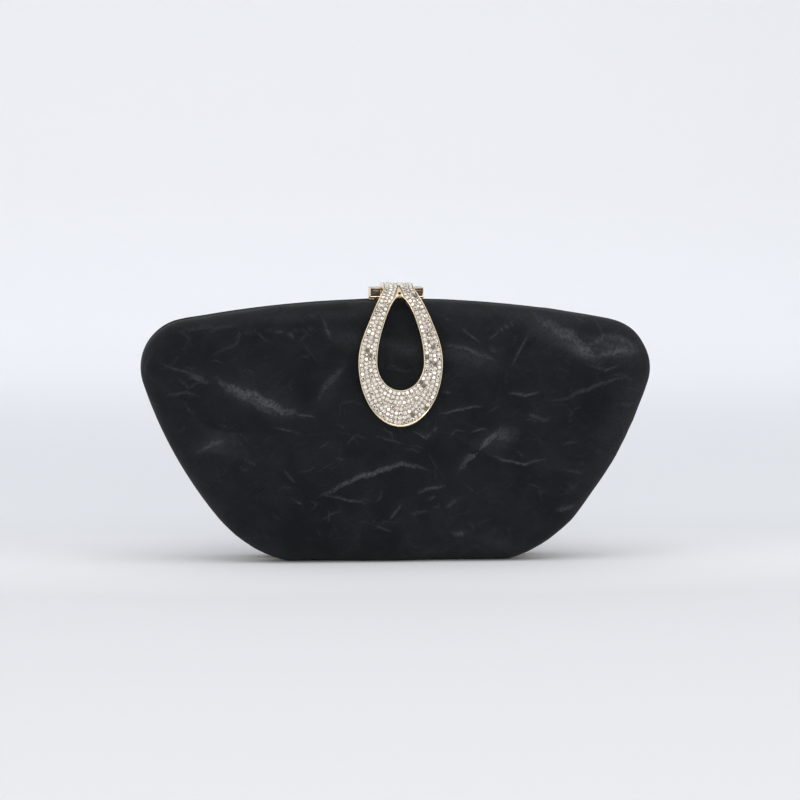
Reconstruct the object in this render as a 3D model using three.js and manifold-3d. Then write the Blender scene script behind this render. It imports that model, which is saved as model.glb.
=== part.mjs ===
// A hard-shell clutch purse. Two padded, cloth-covered trays meet at a metal rim, open on two
// hinges under the purse, and are held shut by a teardrop lever that reaches over the top edge.
// Millimetres, +Z up. X runs along the purse, -Y is the front with the teardrop. While it is
// modelled, y = 0 is the plane where the two halves meet; the whole group is then moved along Y
// so that the origin lies under the middle of the purse.

import * as THREE from 'three';
import { mergeVertices } from 'three/addons/utils/BufferGeometryUtils.js';
import Module from 'manifold-3d';

const WELD = 1e-3;                // vertices closer than this are one

const wasm = await Module();
wasm.setup();

// ---------- driving dimensions ----------

const HALF_DEPTH = 23;            // parting plane to the flat of each face
const EDGE_ROUND_OUT = 13;        // rounding between side wall and face, measured along Y
const EDGE_ROUND_IN = 12;         // the same rounding, measured in from the outline
const EDGE_ROUND_STEPS = 3;       // facets across that rounding

// The outline is a chain of arcs from the middle of the bottom to the middle of the top.
const OUTLINE_ARCS = [
  { radius: 14, turn: 19.3, steps: 2 },       // foot
  { radius: 58.6, turn: 32, steps: 4 },       // lower corner
  { radius: 181.9, turn: 20.3, steps: 3 },    // side
  { radius: 20.9, turn: 97.6, steps: 7 },     // upper corner
  { radius: 492, turn: 10.8, steps: 3 },      // crown
];

// Layers of a half, each measured in from the cloth's outside.
const COVER = { from: 0, to: 0.9 };
const PADDING = { from: 1.0, to: 2.4 };
const TRAY = { from: 2.5, to: 4.1 };
const LINING = { from: 4.2, to: 4.8 };
const LAYER_EDGE = 4.2;           // parting plane to the edge of every layer

const RIM_INSET = 1.5;            // outline to the rim's outer wall
const RIM_WALL = 1.2;             // the rim's outer wall, radially
const RIM_WEB_INSET = 5.5;        // outline to the inner edge of the rim's web
const RIM_WEB = 0.8;              // the web's thickness along Y
const RIM_MOUTH = 0.15;           // parting plane to the rim's mating edge
const RIM_BACK = 4;               // parting plane to the rim's back

const HINGE_X = 38;               // middle of each hinge
const HINGE_LENGTH = 18;
const HINGE_Z = RIM_INSET;        // hinge axis, level with the bottom of the rim
const KNUCKLE_RADIUS = 1.4;
const HINGE_PIN_RADIUS = 0.7;
const LEAF_TOP = 1.3;
const LEAF_BOTTOM = 0.5;
const LEAF_REACH = [1.6, 3.9];    // each leaf's inner and outer edge, measured from y = 0
const HINGE_RIVET_X = 6;          // hinge middle to each of its rivets
const HINGE_RIVET_Y = 2.4;
const RIVET_RADIUS = 0.45;
const RUNNING_GAP = 0.12;         // radial clearance of pins, rivets and screws

const CLASP_BASE_HALF = 11.4;     // half the clasp block's width
const EAR_INNER = 6.8;            // where each ear of the block starts
const BASE_TOP = 116.6;
const BASE_BOTTOM = 111.9;
const BASE_FRONT = -7.5;
const BASE_REAR = 5;
const PIVOT = { y: 3, z: 114.5 };
const PIVOT_PIN_RADIUS = 0.9;
const HUB_RADIUS = 2.2;

const LEVER_TIP_Z = 58.2;         // lowest point of the teardrop
const LEVER_GAP = 1;              // front face to the lever's underside
const LEVER_THICKNESS = 1.9;
const LEVER_BEND_Z = 101.5;       // where the lever starts to bend over the top edge
const LEVER_NECK_Z = 116;         // underside of the neck
const NECK_HALF = 6.5;
const STONE_LIFT = 0.25;          // lever face to the underside of the stones
const STONE_HEIGHT = 0.85;
const STONE_MARGIN = 0.75;        // polished border beside the stones

// Half of the teardrop, in its own flat plane: across it, and along it from the tip.
const TEAR_MIDDLE = 27.3;
const TEAR_OUTER = { half: 17.9, neckHalf: NECK_HALF, neckAt: 60, pull: [13.5, 6.9, 6] };
const TEAR_INNER = { half: 9.9, neckHalf: 0, neckAt: 54.7, pull: [14.2, 2.7, 0.5] };
const TEAR_INNER_TIP = 15.45;
const BEAD = { along: 56.5, radius: 1, height: 1.1, room: 1.5 };

const HOOK_LEFT = -4.5;           // the lever's hook and the keeper's tooth leave room on the
const HOOK_RIGHT = 2;             // right for the spring
const KEEPER_HALF = 5.2;
const HOOK_Y = -2.3;
const HOOK_THICKNESS = 1;
const KEEPER_THICKNESS = 0.5;
const KEEPER_TOOTH_Y = -3.4;
const KEEPER_TOOTH_TOP = 113.3;

const GUSSET_TOP_Z = 84;
const GUSSET_CLOTH = 0.7;

// ---------- materials ----------

const material = (color, roughness, metalness = 0) =>
  new THREE.MeshStandardMaterial({ color, roughness, metalness });

const FINISH = {
  cloth: material(0x1d2124, 0.9),
  foam: material(0xcfcabb, 0.95),
  tray: material(0x2c2c2e, 0.6),
  satin: material(0x17181a, 0.5),
  gold: material(0xd9bf8e, 0.22, 1),
  steel: material(0xa7a9ac, 0.35, 1),
  inlay: material(0x3b3128, 0.3, 0.6),
  stone: material(0xf3efe8, 0.08, 0.1),
};

// ---------- solids: join and cut ----------

function toSolid(geometry) {
  const plain = geometry.clone();
  plain.deleteAttribute('normal');
  plain.deleteAttribute('uv');
  const merged = mergeVertices(plain, WELD);
  return new wasm.Manifold(new wasm.Mesh({
    numProp: 3,
    vertProperties: new Float32Array(merged.attributes.position.array),
    triVerts: new Uint32Array(merged.index.array),
  }));
}

function toGeometry(solid) {
  const mesh = solid.getMesh();
  const geometry = new THREE.BufferGeometry();
  geometry.setAttribute('position', new THREE.BufferAttribute(mesh.vertProperties, 3));
  geometry.setIndex(new THREE.BufferAttribute(mesh.triVerts, 1));
  geometry.computeVertexNormals();
  return geometry;
}

const join = (...solids) => solids.reduce((all, next) => all.add(next));
const cut = (solid, ...tools) => tools.reduce((rest, tool) => rest.subtract(tool), solid);

function box(low, high) {
  const size = high.map((value, axis) => value - low[axis]);
  const geometry = new THREE.BoxGeometry(...size);
  geometry.translate(...low.map((value, axis) => value + size[axis] / 2));
  return toSolid(geometry);
}

// A round bar along X or Z, from one end to the other.
function bar(axis, radius, start, end, across, sides = 12) {
  const geometry = new THREE.CylinderGeometry(radius, radius, end - start, sides);
  if (axis === 'x') {
    geometry.rotateZ(-Math.PI / 2);
    geometry.translate((start + end) / 2, across[0], across[1]);
  } else {
    geometry.rotateX(Math.PI / 2);
    geometry.translate(across[0], across[1], (start + end) / 2);
  }
  return toSolid(geometry);
}

// A box grid with every vertex moved by a rule of its own place, each coordinate from 0 to 1.
function mappedBox(counts, rule) {
  const geometry = new THREE.BoxGeometry(1, 1, 1, ...counts);
  geometry.translate(0.5, 0.5, 0.5);
  const position = geometry.attributes.position;
  const place = new THREE.Vector3();
  for (let i = 0; i < position.count; i += 1) {
    place.fromBufferAttribute(position, i);
    position.setXYZ(i, ...rule(place.x, place.y, place.z));
  }
  return toSolid(geometry);
}

// ---------- the purse's outline ----------

// Points of the outline, moved in by inset, counter-clockwise from the middle of the bottom.
function outline(inset) {
  const arcs = OUTLINE_ARCS.map((arc) => ({ ...arc, turn: THREE.MathUtils.degToRad(arc.turn) }));
  let heading = 0;
  let across = 0;
  for (const { radius, turn } of arcs) {
    across += radius * (Math.sin(heading + turn) - Math.sin(heading));
    heading += turn;
  }
  const bottomHalf = -across;
  const half = [new THREE.Vector2(bottomHalf, inset)];
  heading = 0;
  for (const { radius, turn, steps } of arcs) {
    const inner = radius - inset;
    const start = half[half.length - 1];
    for (let i = 1; i <= steps; i += 1) {
      const angle = heading + turn * i / steps;
      half.push(new THREE.Vector2(
        start.x + inner * (Math.sin(angle) - Math.sin(heading)),
        start.y + inner * (Math.cos(heading) - Math.cos(angle)),
      ));
    }
    heading += turn;
  }
  half[half.length - 1].x = 0;
  const otherHalf = half.slice(0, -1).reverse().map((point) => new THREE.Vector2(-point.x, point.y));
  return half.concat(otherHalf);
}

// The outline as a slab from y = from to y = to.
function outlineSlab(inset, from, to) {
  const geometry = new THREE.ExtrudeGeometry(new THREE.Shape(outline(inset)), {
    depth: to - from, bevelEnabled: false,
  });
  geometry.rotateX(Math.PI / 2);
  geometry.translate(0, to, 0);
  return toSolid(geometry);
}

// One half of the purse as a full, round-edged block, whose skin lies inset inside the cloth's.
function halfBlock(side, inset) {
  const geometry = new THREE.ExtrudeGeometry(new THREE.Shape(outline(inset)), {
    depth: 2 * (HALF_DEPTH - EDGE_ROUND_OUT),
    bevelThickness: EDGE_ROUND_OUT - inset,
    bevelSize: EDGE_ROUND_IN - inset,
    bevelOffset: inset - EDGE_ROUND_IN,
    bevelSegments: EDGE_ROUND_STEPS,
  });
  geometry.rotateX(Math.PI / 2);
  geometry.translate(0, HALF_DEPTH - EDGE_ROUND_OUT, 0);
  const reach = 200;
  const near = side < 0 ? -HALF_DEPTH - 1 : LAYER_EDGE;
  const far = side < 0 ? -LAYER_EDGE : HALF_DEPTH + 1;
  return toSolid(geometry).intersect(box([-reach, near, -reach], [reach, far, reach]));
}

const layer = (side, { from, to }) => halfBlock(side, from).subtract(halfBlock(side, to));

// ---------- rims ----------

const HINGE_SIDES = [['left', -1], ['right', 1]];
const RIM_HEIGHT = Math.max(...outline(RIM_INSET).map((point) => point.y));
const RIM_POCKET_MIDDLE = (RIM_MOUTH + RIM_BACK - RIM_WEB) / 2;
const KEEPER_RIVET = { x: 3.2, y: RIM_POCKET_MIDDLE, radius: RIVET_RADIUS };
const CLASP_SCREW = { x: (EAR_INNER + CLASP_BASE_HALF) / 2, y: RIM_POCKET_MIDDLE, radius: 0.7 };

function hingePockets() {
  const half = HINGE_LENGTH / 2 + 0.5;
  const reach = KNUCKLE_RADIUS + 0.3;
  return HINGE_SIDES.map(([, sign]) => box(
    [sign * HINGE_X - half, -reach, -1],
    [sign * HINGE_X + half, reach, HINGE_Z + KNUCKLE_RADIUS + 0.4],
  ));
}

function rivetHoles(side) {
  const y = side * HINGE_RIVET_Y;
  return HINGE_SIDES.flatMap(([, sign]) => [-1, 1].map((end) => bar(
    'z', RIVET_RADIUS + RUNNING_GAP, -1, RIM_INSET + RIM_WALL + 1,
    [sign * HINGE_X + end * HINGE_RIVET_X, y],
  )));
}

// Holes through the top of a rim, for the keeper's rivets at the back or the clasp's screws.
function topHoles(side) {
  const { x, y, radius } = side < 0 ? CLASP_SCREW : KEEPER_RIVET;
  return [-1, 1].map((sign) => bar(
    'z', radius + RUNNING_GAP, RIM_HEIGHT - RIM_WALL - 1, RIM_HEIGHT + 1, [sign * x, side * y],
  ));
}

function rim(side) {
  const [near, far] = side < 0 ? [-RIM_BACK, -RIM_MOUTH] : [RIM_MOUTH, RIM_BACK];
  const [pocketNear, pocketFar] = side < 0
    ? [-RIM_BACK + RIM_WEB, 1]
    : [-1, RIM_BACK - RIM_WEB];
  return cut(
    outlineSlab(RIM_INSET, near, far),
    outlineSlab(RIM_INSET + RIM_WALL, pocketNear, pocketFar),
    outlineSlab(RIM_WEB_INSET, near - 1, far + 1),
    ...hingePockets(),
    ...rivetHoles(side),
    ...topHoles(side),
  );
}

// ---------- hinges ----------

// Five knuckles: the back leaf holds the two ends and the middle, the front leaf the others.
const KNUCKLES = 5;
const KNUCKLE_GAP = 0.15;

function hingeLeaf(sign, side) {
  const middle = sign * HINGE_X;
  const start = middle - HINGE_LENGTH / 2;
  const pitch = HINGE_LENGTH / KNUCKLES;
  const [inner, outer] = LEAF_REACH;
  const plate = side < 0
    ? box([start, -outer, LEAF_BOTTOM], [start + HINGE_LENGTH, -inner, LEAF_TOP])
    : box([start, inner, LEAF_BOTTOM], [start + HINGE_LENGTH, outer, LEAF_TOP]);
  const pieces = [plate];
  for (let i = side < 0 ? 1 : 0; i < KNUCKLES; i += 2) {
    const low = start + i * pitch + KNUCKLE_GAP;
    const high = start + (i + 1) * pitch - KNUCKLE_GAP;
    pieces.push(bar('x', KNUCKLE_RADIUS, low, high, [0, HINGE_Z]));
    pieces.push(side < 0
      ? box([low, -inner - 0.3, LEAF_BOTTOM], [high, -0.6, LEAF_TOP])
      : box([low, 0.6, LEAF_BOTTOM], [high, inner + 0.3, LEAF_TOP]));
  }
  const y = side * HINGE_RIVET_Y;
  const pinHole = bar(
    'x', HINGE_PIN_RADIUS + RUNNING_GAP, start - 1, start + HINGE_LENGTH + 1, [0, HINGE_Z],
  );
  const holes = [-1, 1].map((end) => bar(
    'z', RIVET_RADIUS + RUNNING_GAP, -1, 5, [middle + end * HINGE_RIVET_X, y],
  ));
  return cut(join(...pieces), pinHole, ...holes);
}

function hingePin(sign) {
  const middle = sign * HINGE_X;
  const half = HINGE_LENGTH / 2;
  return bar('x', HINGE_PIN_RADIUS, middle - half, middle + half, [0, HINGE_Z]);
}

// A rivet up through a hinge leaf and the rim's wall, with a low head at each end.
function hingeRivet(sign, side, end) {
  const place = [sign * HINGE_X + end * HINGE_RIVET_X, side * HINGE_RIVET_Y];
  const head = RIVET_RADIUS + 0.3;
  const wallTop = RIM_INSET + RIM_WALL;
  return join(
    bar('z', RIVET_RADIUS, LEAF_BOTTOM - 0.2, wallTop + 0.2, place, 10),
    bar('z', head, LEAF_BOTTOM - 0.4, LEAF_BOTTOM - 0.1, place, 10),
    bar('z', head, wallTop + 0.1, wallTop + 0.5, place, 10),
  );
}

// ---------- side gussets ----------

// Cloth that joins the two rims at one side and folds inwards, deeper towards the top.
function gusset(sign) {
  const wall = outline(RIM_WEB_INSET + 0.4).filter((point) => point.x > 0 && point.y < GUSSET_TOP_Z);
  const route = new THREE.CatmullRomCurve3(
    wall.slice(1).map((point) => new THREE.Vector3(point.x, 0, point.y)),
  );
  const mouth = RIM_BACK - 0.4;
  return mappedBox([10, 4, 1], (along, fold, thick) => {
    const place = route.getPoint(along);
    const depth = 2 + 16 * along;
    const inward = 1 - Math.abs(2 * fold - 1);
    const x = place.x - depth * inward - GUSSET_CLOTH * thick;
    const y = mouth * (2 * fold - 1) * (1 - 0.6 * inward);
    return [sign * x, sign * y, place.z + 0.3 * depth * inward];
  });
}

// ---------- clasp: base, pin, spring ----------

const INLAY = { halfWidth: 1.95, halfHeight: 1.5, depth: 0.7, z: 114.5 };
const INLAY_GAP = 0.15;

function claspBase() {
  const footBottom = RIM_HEIGHT + 0.35;
  const pieces = [box(
    [-EAR_INNER - 0.5, BASE_FRONT, BASE_BOTTOM],
    [EAR_INNER + 0.5, BASE_FRONT + 3, BASE_BOTTOM + 1.5],
  )];
  const tools = [bar(
    'x', PIVOT_PIN_RADIUS + RUNNING_GAP, -20, 20, [PIVOT.y, PIVOT.z],
  )];
  for (const sign of [-1, 1]) {
    const [low, high] = sign < 0
      ? [-CLASP_BASE_HALF, -EAR_INNER]
      : [EAR_INNER, CLASP_BASE_HALF];
    pieces.push(box([low, BASE_FRONT, BASE_BOTTOM], [high, BASE_REAR, BASE_TOP]));
    pieces.push(box([low, -RIM_BACK + 0.3, footBottom], [high, -RIM_MOUTH - 0.3, BASE_BOTTOM + 1]));
    tools.push(bar(
      'z', CLASP_SCREW.radius + RUNNING_GAP, footBottom - 1, BASE_TOP - 2,
      [sign * CLASP_SCREW.x, -CLASP_SCREW.y],
    ));
    const halfWidth = INLAY.halfWidth + INLAY_GAP;
    const halfHeight = INLAY.halfHeight + INLAY_GAP;
    tools.push(box(
      [sign * CLASP_SCREW.x - halfWidth, BASE_FRONT - 1, INLAY.z - halfHeight],
      [sign * CLASP_SCREW.x + halfWidth, BASE_FRONT + INLAY.depth + INLAY_GAP, INLAY.z + halfHeight],
    ));
  }
  return cut(join(...pieces), ...tools);
}

// A dark inlay with a raised, chamfered middle.
function claspInlay(sign) {
  const geometry = new THREE.ExtrudeGeometry(new THREE.Shape([
    new THREE.Vector2(-INLAY.halfWidth, -INLAY.halfHeight),
    new THREE.Vector2(INLAY.halfWidth, -INLAY.halfHeight),
    new THREE.Vector2(INLAY.halfWidth, INLAY.halfHeight),
    new THREE.Vector2(-INLAY.halfWidth, INLAY.halfHeight),
  ]), {
    depth: INLAY.depth - 0.5, bevelThickness: 0.2, bevelSize: 0.3, bevelOffset: -0.3, bevelSegments: 1,
  });
  geometry.rotateX(Math.PI / 2);
  geometry.translate(sign * CLASP_SCREW.x, BASE_FRONT + INLAY.depth - 0.2, INLAY.z);
  return toSolid(geometry);
}

function claspScrew(sign) {
  const place = [sign * CLASP_SCREW.x, -CLASP_SCREW.y];
  const under = RIM_HEIGHT - RIM_WALL - 0.35;
  return join(
    bar('z', CLASP_SCREW.radius, under - 0.3, BASE_TOP - 2.6, place, 10),
    bar('z', 1.15, under - 0.9, under, place, 12),
  );
}

const claspPin = () => bar(
  'x', PIVOT_PIN_RADIUS, -CLASP_BASE_HALF, CLASP_BASE_HALF, [PIVOT.y, PIVOT.z],
);

const SPRING = { from: 2.7, to: 6.3, radius: 1.6, wire: 0.25, turns: 4 };

// The torsion spring: a coil round the pin, one leg forwards on the base, one back.
function claspSpring() {
  const points = [];
  const stepsPerTurn = 8;
  const count = SPRING.turns * stepsPerTurn;
  for (let i = 0; i <= count; i += 1) {
    const angle = 2 * Math.PI * i / stepsPerTurn;
    points.push(new THREE.Vector3(
      THREE.MathUtils.lerp(SPRING.from, SPRING.to, i / count),
      PIVOT.y + SPRING.radius * Math.sin(angle),
      PIVOT.z - SPRING.radius * Math.cos(angle),
    ));
  }
  const legLength = 7.2;
  const legEnd = points[0].clone().add(new THREE.Vector3(0, -legLength, 0));
  const legMiddle = points[0].clone().add(new THREE.Vector3(0, -legLength / 2, 0));
  const path = new THREE.CatmullRomCurve3([legEnd, legMiddle, ...points]);
  const wire = new THREE.Shape();
  wire.absarc(0, 0, SPRING.wire, 0, 2 * Math.PI);
  const geometry = new THREE.ExtrudeGeometry(wire, {
    steps: count + 2, curveSegments: 5, extrudePath: path, bevelEnabled: false,
  });
  return toSolid(geometry);
}

// ---------- clasp: teardrop lever ----------

const BEND = {
  y: -(HALF_DEPTH - EDGE_ROUND_OUT),
  out: EDGE_ROUND_OUT + LEVER_GAP,
  up: LEVER_NECK_Z - LEVER_BEND_Z,
};
const BEND_START = LEVER_BEND_Z - LEVER_TIP_Z;
const BEND_LENGTH = Math.PI / 2 * (BEND.out + BEND.up) / 2;
const NECK_END = BEND_START + BEND_LENGTH + PIVOT.y - BEND.y;

// A point of the lever: across it, along it from the tip, and out from its underside.
function leverPoint(across, along, out) {
  if (along <= BEND_START) return [across, BEND.y - BEND.out - out, LEVER_TIP_Z + along];
  if (along >= BEND_START + BEND_LENGTH) {
    return [across, BEND.y + along - BEND_START - BEND_LENGTH, LEVER_NECK_Z + out];
  }
  const angle = Math.PI / 2 * (along - BEND_START) / BEND_LENGTH;
  return [
    across,
    BEND.y - (BEND.out + out) * Math.cos(angle),
    LEVER_BEND_Z + (BEND.up + out) * Math.sin(angle),
  ];
}

// One edge of the teardrop as a curve from neck to tip: a swept side, then a quarter ellipse.
function tearEdge({ half, neckHalf, neckAt, pull }, tip) {
  const side = new THREE.CubicBezierCurve(
    new THREE.Vector2(neckHalf, neckAt),
    new THREE.Vector2(pull[1], neckAt - pull[2]),
    new THREE.Vector2(half, TEAR_MIDDLE + pull[0]),
    new THREE.Vector2(half, TEAR_MIDDLE),
  );
  return (part) => {
    if (part <= 0.5) return side.getPoint(2 * part);
    const angle = Math.PI * (part - 0.5);
    return new THREE.Vector2(
      half * Math.cos(angle),
      TEAR_MIDDLE - (TEAR_MIDDLE - tip) * Math.sin(angle),
    );
  };
}

// The teardrop's loop between heights low and high, kept margin away from both of its edges.
function tearLoop(margin, low, high) {
  const outer = tearEdge(TEAR_OUTER, 0);
  const inner = tearEdge(TEAR_INNER, TEAR_INNER_TIP);
  return mappedBox([40, 3, 1], (round, across, up) => {
    const sign = round < 0.5 ? 1 : -1;
    const part = 1 - Math.abs(2 * round - 1);
    const from = inner(part);
    const to = outer(part);
    const width = from.distanceTo(to);
    const place = from.lerp(to, (margin + (width - 2 * margin) * across) / width);
    return leverPoint(sign * place.x, place.y, low + (high - low) * up);
  });
}

// The neck between the teardrop's two arms and the hub, starting at their V.
function neck(margin, low, high, end) {
  const overlap = 0.4;
  const slope = (TEAR_OUTER.neckAt - TEAR_INNER.neckAt) / NECK_HALF;
  return mappedBox([4, 12, 1], (acrossPart, alongPart, up) => {
    const across = (2 * acrossPart - 1) * (NECK_HALF - margin);
    const vee = TEAR_INNER.neckAt + slope * Math.abs(across) - overlap;
    const start = Math.max(vee, TEAR_INNER.neckAt + margin);
    const along = THREE.MathUtils.lerp(start, end, alongPart);
    return leverPoint(across, along, low + (high - low) * up);
  });
}

function claspLever() {
  const hub = bar('x', HUB_RADIUS, -NECK_HALF, SPRING.from - 0.6, [PIVOT.y, PIVOT.z], 20);
  const hook = box(
    [HOOK_LEFT, HOOK_Y, BASE_BOTTOM + 0.2],
    [HOOK_RIGHT, HOOK_Y + HOOK_THICKNESS, LEVER_NECK_Z + 0.5],
  );
  const pinHole = bar('x', PIVOT_PIN_RADIUS + RUNNING_GAP, -20, 20, [PIVOT.y, PIVOT.z]);
  return cut(
    join(tearLoop(0, 0, LEVER_THICKNESS), neck(0, 0, LEVER_THICKNESS, NECK_END), hub, hook),
    pinHole,
    springRoom(),
  );
}

const springRoom = () => bar(
  'x', SPRING.radius + SPRING.wire + 0.25, SPRING.from - 0.5, NECK_HALF + 1, [PIVOT.y, PIVOT.z],
);

// The stones as one bed, with room for the bead at the teardrop's inner corner.
function stoneBed() {
  const low = LEVER_THICKNESS + STONE_LIFT;
  const high = low + STONE_HEIGHT;
  const room = new THREE.CylinderGeometry(BEAD.room, BEAD.room, 4, 12);
  return join(
    tearLoop(STONE_MARGIN, low, high),
    neck(STONE_MARGIN, low, high, NECK_END - 4),
  ).subtract(toSolid(onLever(room, BEAD.along, low)));
}

// Moves a geometry whose axis is Y on to the lever's middle, so that it stands up from it.
function onLever(geometry, along, out) {
  const angle = Math.PI / 2 * (along - BEND_START) / BEND_LENGTH;
  geometry.rotateX(Math.PI - angle);
  geometry.translate(...leverPoint(0, along, out));
  return geometry;
}

function apexBead() {
  const dome = new THREE.Path();
  dome.moveTo(0, 0);
  dome.lineTo(BEAD.radius, 0);
  dome.absellipse(0, 0, BEAD.radius, BEAD.height, 0, Math.PI / 2);
  const geometry = new THREE.LatheGeometry(dome.getPoints(4), 12);
  return toSolid(onLever(geometry, BEAD.along, LEVER_THICKNESS + 0.05));
}

// ---------- keeper ----------

const KEEPER_LOW = RIM_HEIGHT + 0.3;

function keeperLeaf() {
  const top = KEEPER_LOW + KEEPER_THICKNESS;
  return cut(
    join(
      box([-KEEPER_HALF, KEEPER_TOOTH_Y, KEEPER_LOW], [KEEPER_HALF, RIM_BACK - 0.4, top]),
      box(
        [-KEEPER_HALF, KEEPER_TOOTH_Y, KEEPER_LOW],
        [HOOK_RIGHT, KEEPER_TOOTH_Y + 0.6, KEEPER_TOOTH_TOP],
      ),
    ),
    ...[-1, 1].map((sign) => bar(
      'z', RIVET_RADIUS + RUNNING_GAP, KEEPER_LOW - 1, top + 1,
      [sign * KEEPER_RIVET.x, KEEPER_RIVET.y],
    )),
  );
}

function keeperRivet(sign) {
  const place = [sign * KEEPER_RIVET.x, KEEPER_RIVET.y];
  const top = KEEPER_LOW + KEEPER_THICKNESS + 0.1;
  const under = RIM_HEIGHT - RIM_WALL - 0.3;
  return join(
    bar('z', RIVET_RADIUS, under - 0.2, top + 0.1, place, 10),
    bar('z', 1, under - 0.5, under, place, 10),
    bar('z', 1, top, top + 0.4, place, 10),
  );
}

// ---------- assembly ----------

const LEVER_FRONT = HALF_DEPTH + LEVER_GAP + LEVER_THICKNESS + STONE_LIFT + STONE_HEIGHT;
const CENTRE_SHIFT = (LEVER_FRONT - HALF_DEPTH) / 2;

const purse = new THREE.Group();
const backHalf = new THREE.Group();
const frontHalf = new THREE.Group();
const lever = new THREE.Group();
purse.add(backHalf, frontHalf, lever);
purse.position.y = CENTRE_SHIFT;

function add(group, name, solid, finish) {
  const mesh = new THREE.Mesh(toGeometry(solid), finish);
  mesh.name = name;
  group.add(mesh);
  return mesh;
}

for (const [name, side, group] of [['back', 1, backHalf], ['front', -1, frontHalf]]) {
  add(group, `${name}_cover`, layer(side, COVER), FINISH.cloth);
  add(group, `${name}_padding`, layer(side, PADDING), FINISH.foam);
  add(group, `${name}_tray`, layer(side, TRAY), FINISH.tray);
  add(group, `${name}_lining`, layer(side, LINING), FINISH.satin);
  add(group, `${name}_rim`, rim(side), FINISH.gold);
  for (const [hand, sign] of HINGE_SIDES) {
    add(group, `${hand}_hinge_${name}_leaf`, hingeLeaf(sign, side), FINISH.gold);
    for (const [number, end] of [[1, -1], [2, 1]]) {
      add(group, `${hand}_hinge_${name}_rivet_${number}`, hingeRivet(sign, side, end), FINISH.gold);
    }
  }
}
for (const [hand, sign] of HINGE_SIDES) {
  add(backHalf, `${hand}_hinge_pin`, hingePin(sign), FINISH.steel);
  add(backHalf, `${hand}_gusset`, gusset(sign), FINISH.satin);
  add(backHalf, `keeper_rivet_${hand}`, keeperRivet(sign), FINISH.gold);
  add(frontHalf, `clasp_inlay_${hand}`, claspInlay(sign), FINISH.inlay);
  add(frontHalf, `clasp_screw_${hand}`, claspScrew(sign), FINISH.steel);
}
add(backHalf, 'keeper_leaf', keeperLeaf(), FINISH.steel);
add(frontHalf, 'clasp_base', claspBase(), FINISH.gold);
add(frontHalf, 'clasp_pin', claspPin(), FINISH.gold);
add(frontHalf, 'clasp_spring', claspSpring(), FINISH.steel);
add(lever, 'clasp_lever', claspLever(), FINISH.gold);
add(lever, 'pave_stone_bed', stoneBed(), FINISH.stone);
add(lever, 'apex_bead', apexBead(), FINISH.gold);

export default purse;
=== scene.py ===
"""A black, crinkled-cloth clutch purse with a stone-set teardrop clasp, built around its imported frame.

Lengths are in metres, in the frame's own axes: +X along the purse, -Y to the front, +Z up.
"""
import math
import random

import bmesh
import bpy
import numpy as np
from mathutils import Matrix, Vector
from mathutils.kdtree import KDTree


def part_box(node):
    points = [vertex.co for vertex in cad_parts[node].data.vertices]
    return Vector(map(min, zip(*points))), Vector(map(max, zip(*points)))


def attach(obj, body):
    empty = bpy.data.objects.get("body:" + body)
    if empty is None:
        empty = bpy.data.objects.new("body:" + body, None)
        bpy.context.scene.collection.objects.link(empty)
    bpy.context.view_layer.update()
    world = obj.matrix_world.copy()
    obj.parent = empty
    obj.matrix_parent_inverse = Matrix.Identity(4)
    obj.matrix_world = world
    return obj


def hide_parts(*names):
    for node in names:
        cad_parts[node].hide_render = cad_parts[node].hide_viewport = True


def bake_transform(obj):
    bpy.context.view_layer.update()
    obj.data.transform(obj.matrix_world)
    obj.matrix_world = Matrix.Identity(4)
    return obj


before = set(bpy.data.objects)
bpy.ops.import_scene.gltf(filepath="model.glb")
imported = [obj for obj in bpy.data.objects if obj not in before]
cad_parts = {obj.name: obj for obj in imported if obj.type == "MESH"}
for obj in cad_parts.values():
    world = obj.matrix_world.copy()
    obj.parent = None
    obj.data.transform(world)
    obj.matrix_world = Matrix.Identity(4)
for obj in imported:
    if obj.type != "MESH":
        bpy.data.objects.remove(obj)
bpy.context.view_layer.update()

MM = 0.001
BACK, FRONT, LEVER = "back_half", "front_half", "clasp_lever"
random.seed(7)


# ---------- sizes, from the frame ----------

def box_middle(node, axis):
    """The middle of a node's box along one axis."""
    low, high = (getattr(corner, axis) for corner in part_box(node))
    return (low + high) / 2


PARTING = (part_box("front_rim")[1].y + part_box("back_rim")[0].y) / 2
HALF_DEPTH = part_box("back_cover")[1].y - PARTING
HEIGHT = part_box("back_cover")[1].z
LAYER_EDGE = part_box("back_cover")[0].y - PARTING    # parting plane to the edges of a half's layers
PADDING_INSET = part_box("back_padding")[0].z
TRAY_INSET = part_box("back_tray")[0].z
LINING_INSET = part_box("back_lining")[0].z
RIM_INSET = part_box("back_rim")[0].z
RIM_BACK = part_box("back_rim")[1].y - PARTING
RIM_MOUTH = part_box("back_rim")[0].y - PARTING
HINGE_X = box_middle("right_hinge_pin", "x")
HINGE_Z = box_middle("right_hinge_pin", "z")
HINGE_HALF = (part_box("right_hinge_pin")[1].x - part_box("right_hinge_pin")[0].x) / 2

# The outline: arcs (radius, turn in degrees) from the middle of the bottom to the middle of the top.
OUTLINE_ARCS = (
    (14 * MM, 19.3),       # foot
    (58.6 * MM, 32),       # lower corner
    (181.9 * MM, 20.3),    # side
    (20.9 * MM, 97.6),     # upper corner
    (492 * MM, 10.8),      # crown
)
EDGE_ROUND_OUT = 13 * MM   # rounding between side wall and face, along Y
EDGE_ROUND_IN = 12 * MM    # the same rounding, in from the outline
CROWN = 1.1 * MM           # how far the middle of a face stands out over its edge
CLOTH = 0.8 * MM
SATIN = 0.5 * MM
LAYER_GAP = 0.1 * MM       # left between one layer and the next
GUSSET_CLOTH = 0.35 * MM


# ---------- meshes ----------

def new_object(name, mesh):
    obj = bpy.data.objects.new(name, mesh)
    bpy.context.scene.collection.objects.link(obj)
    return obj


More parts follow.
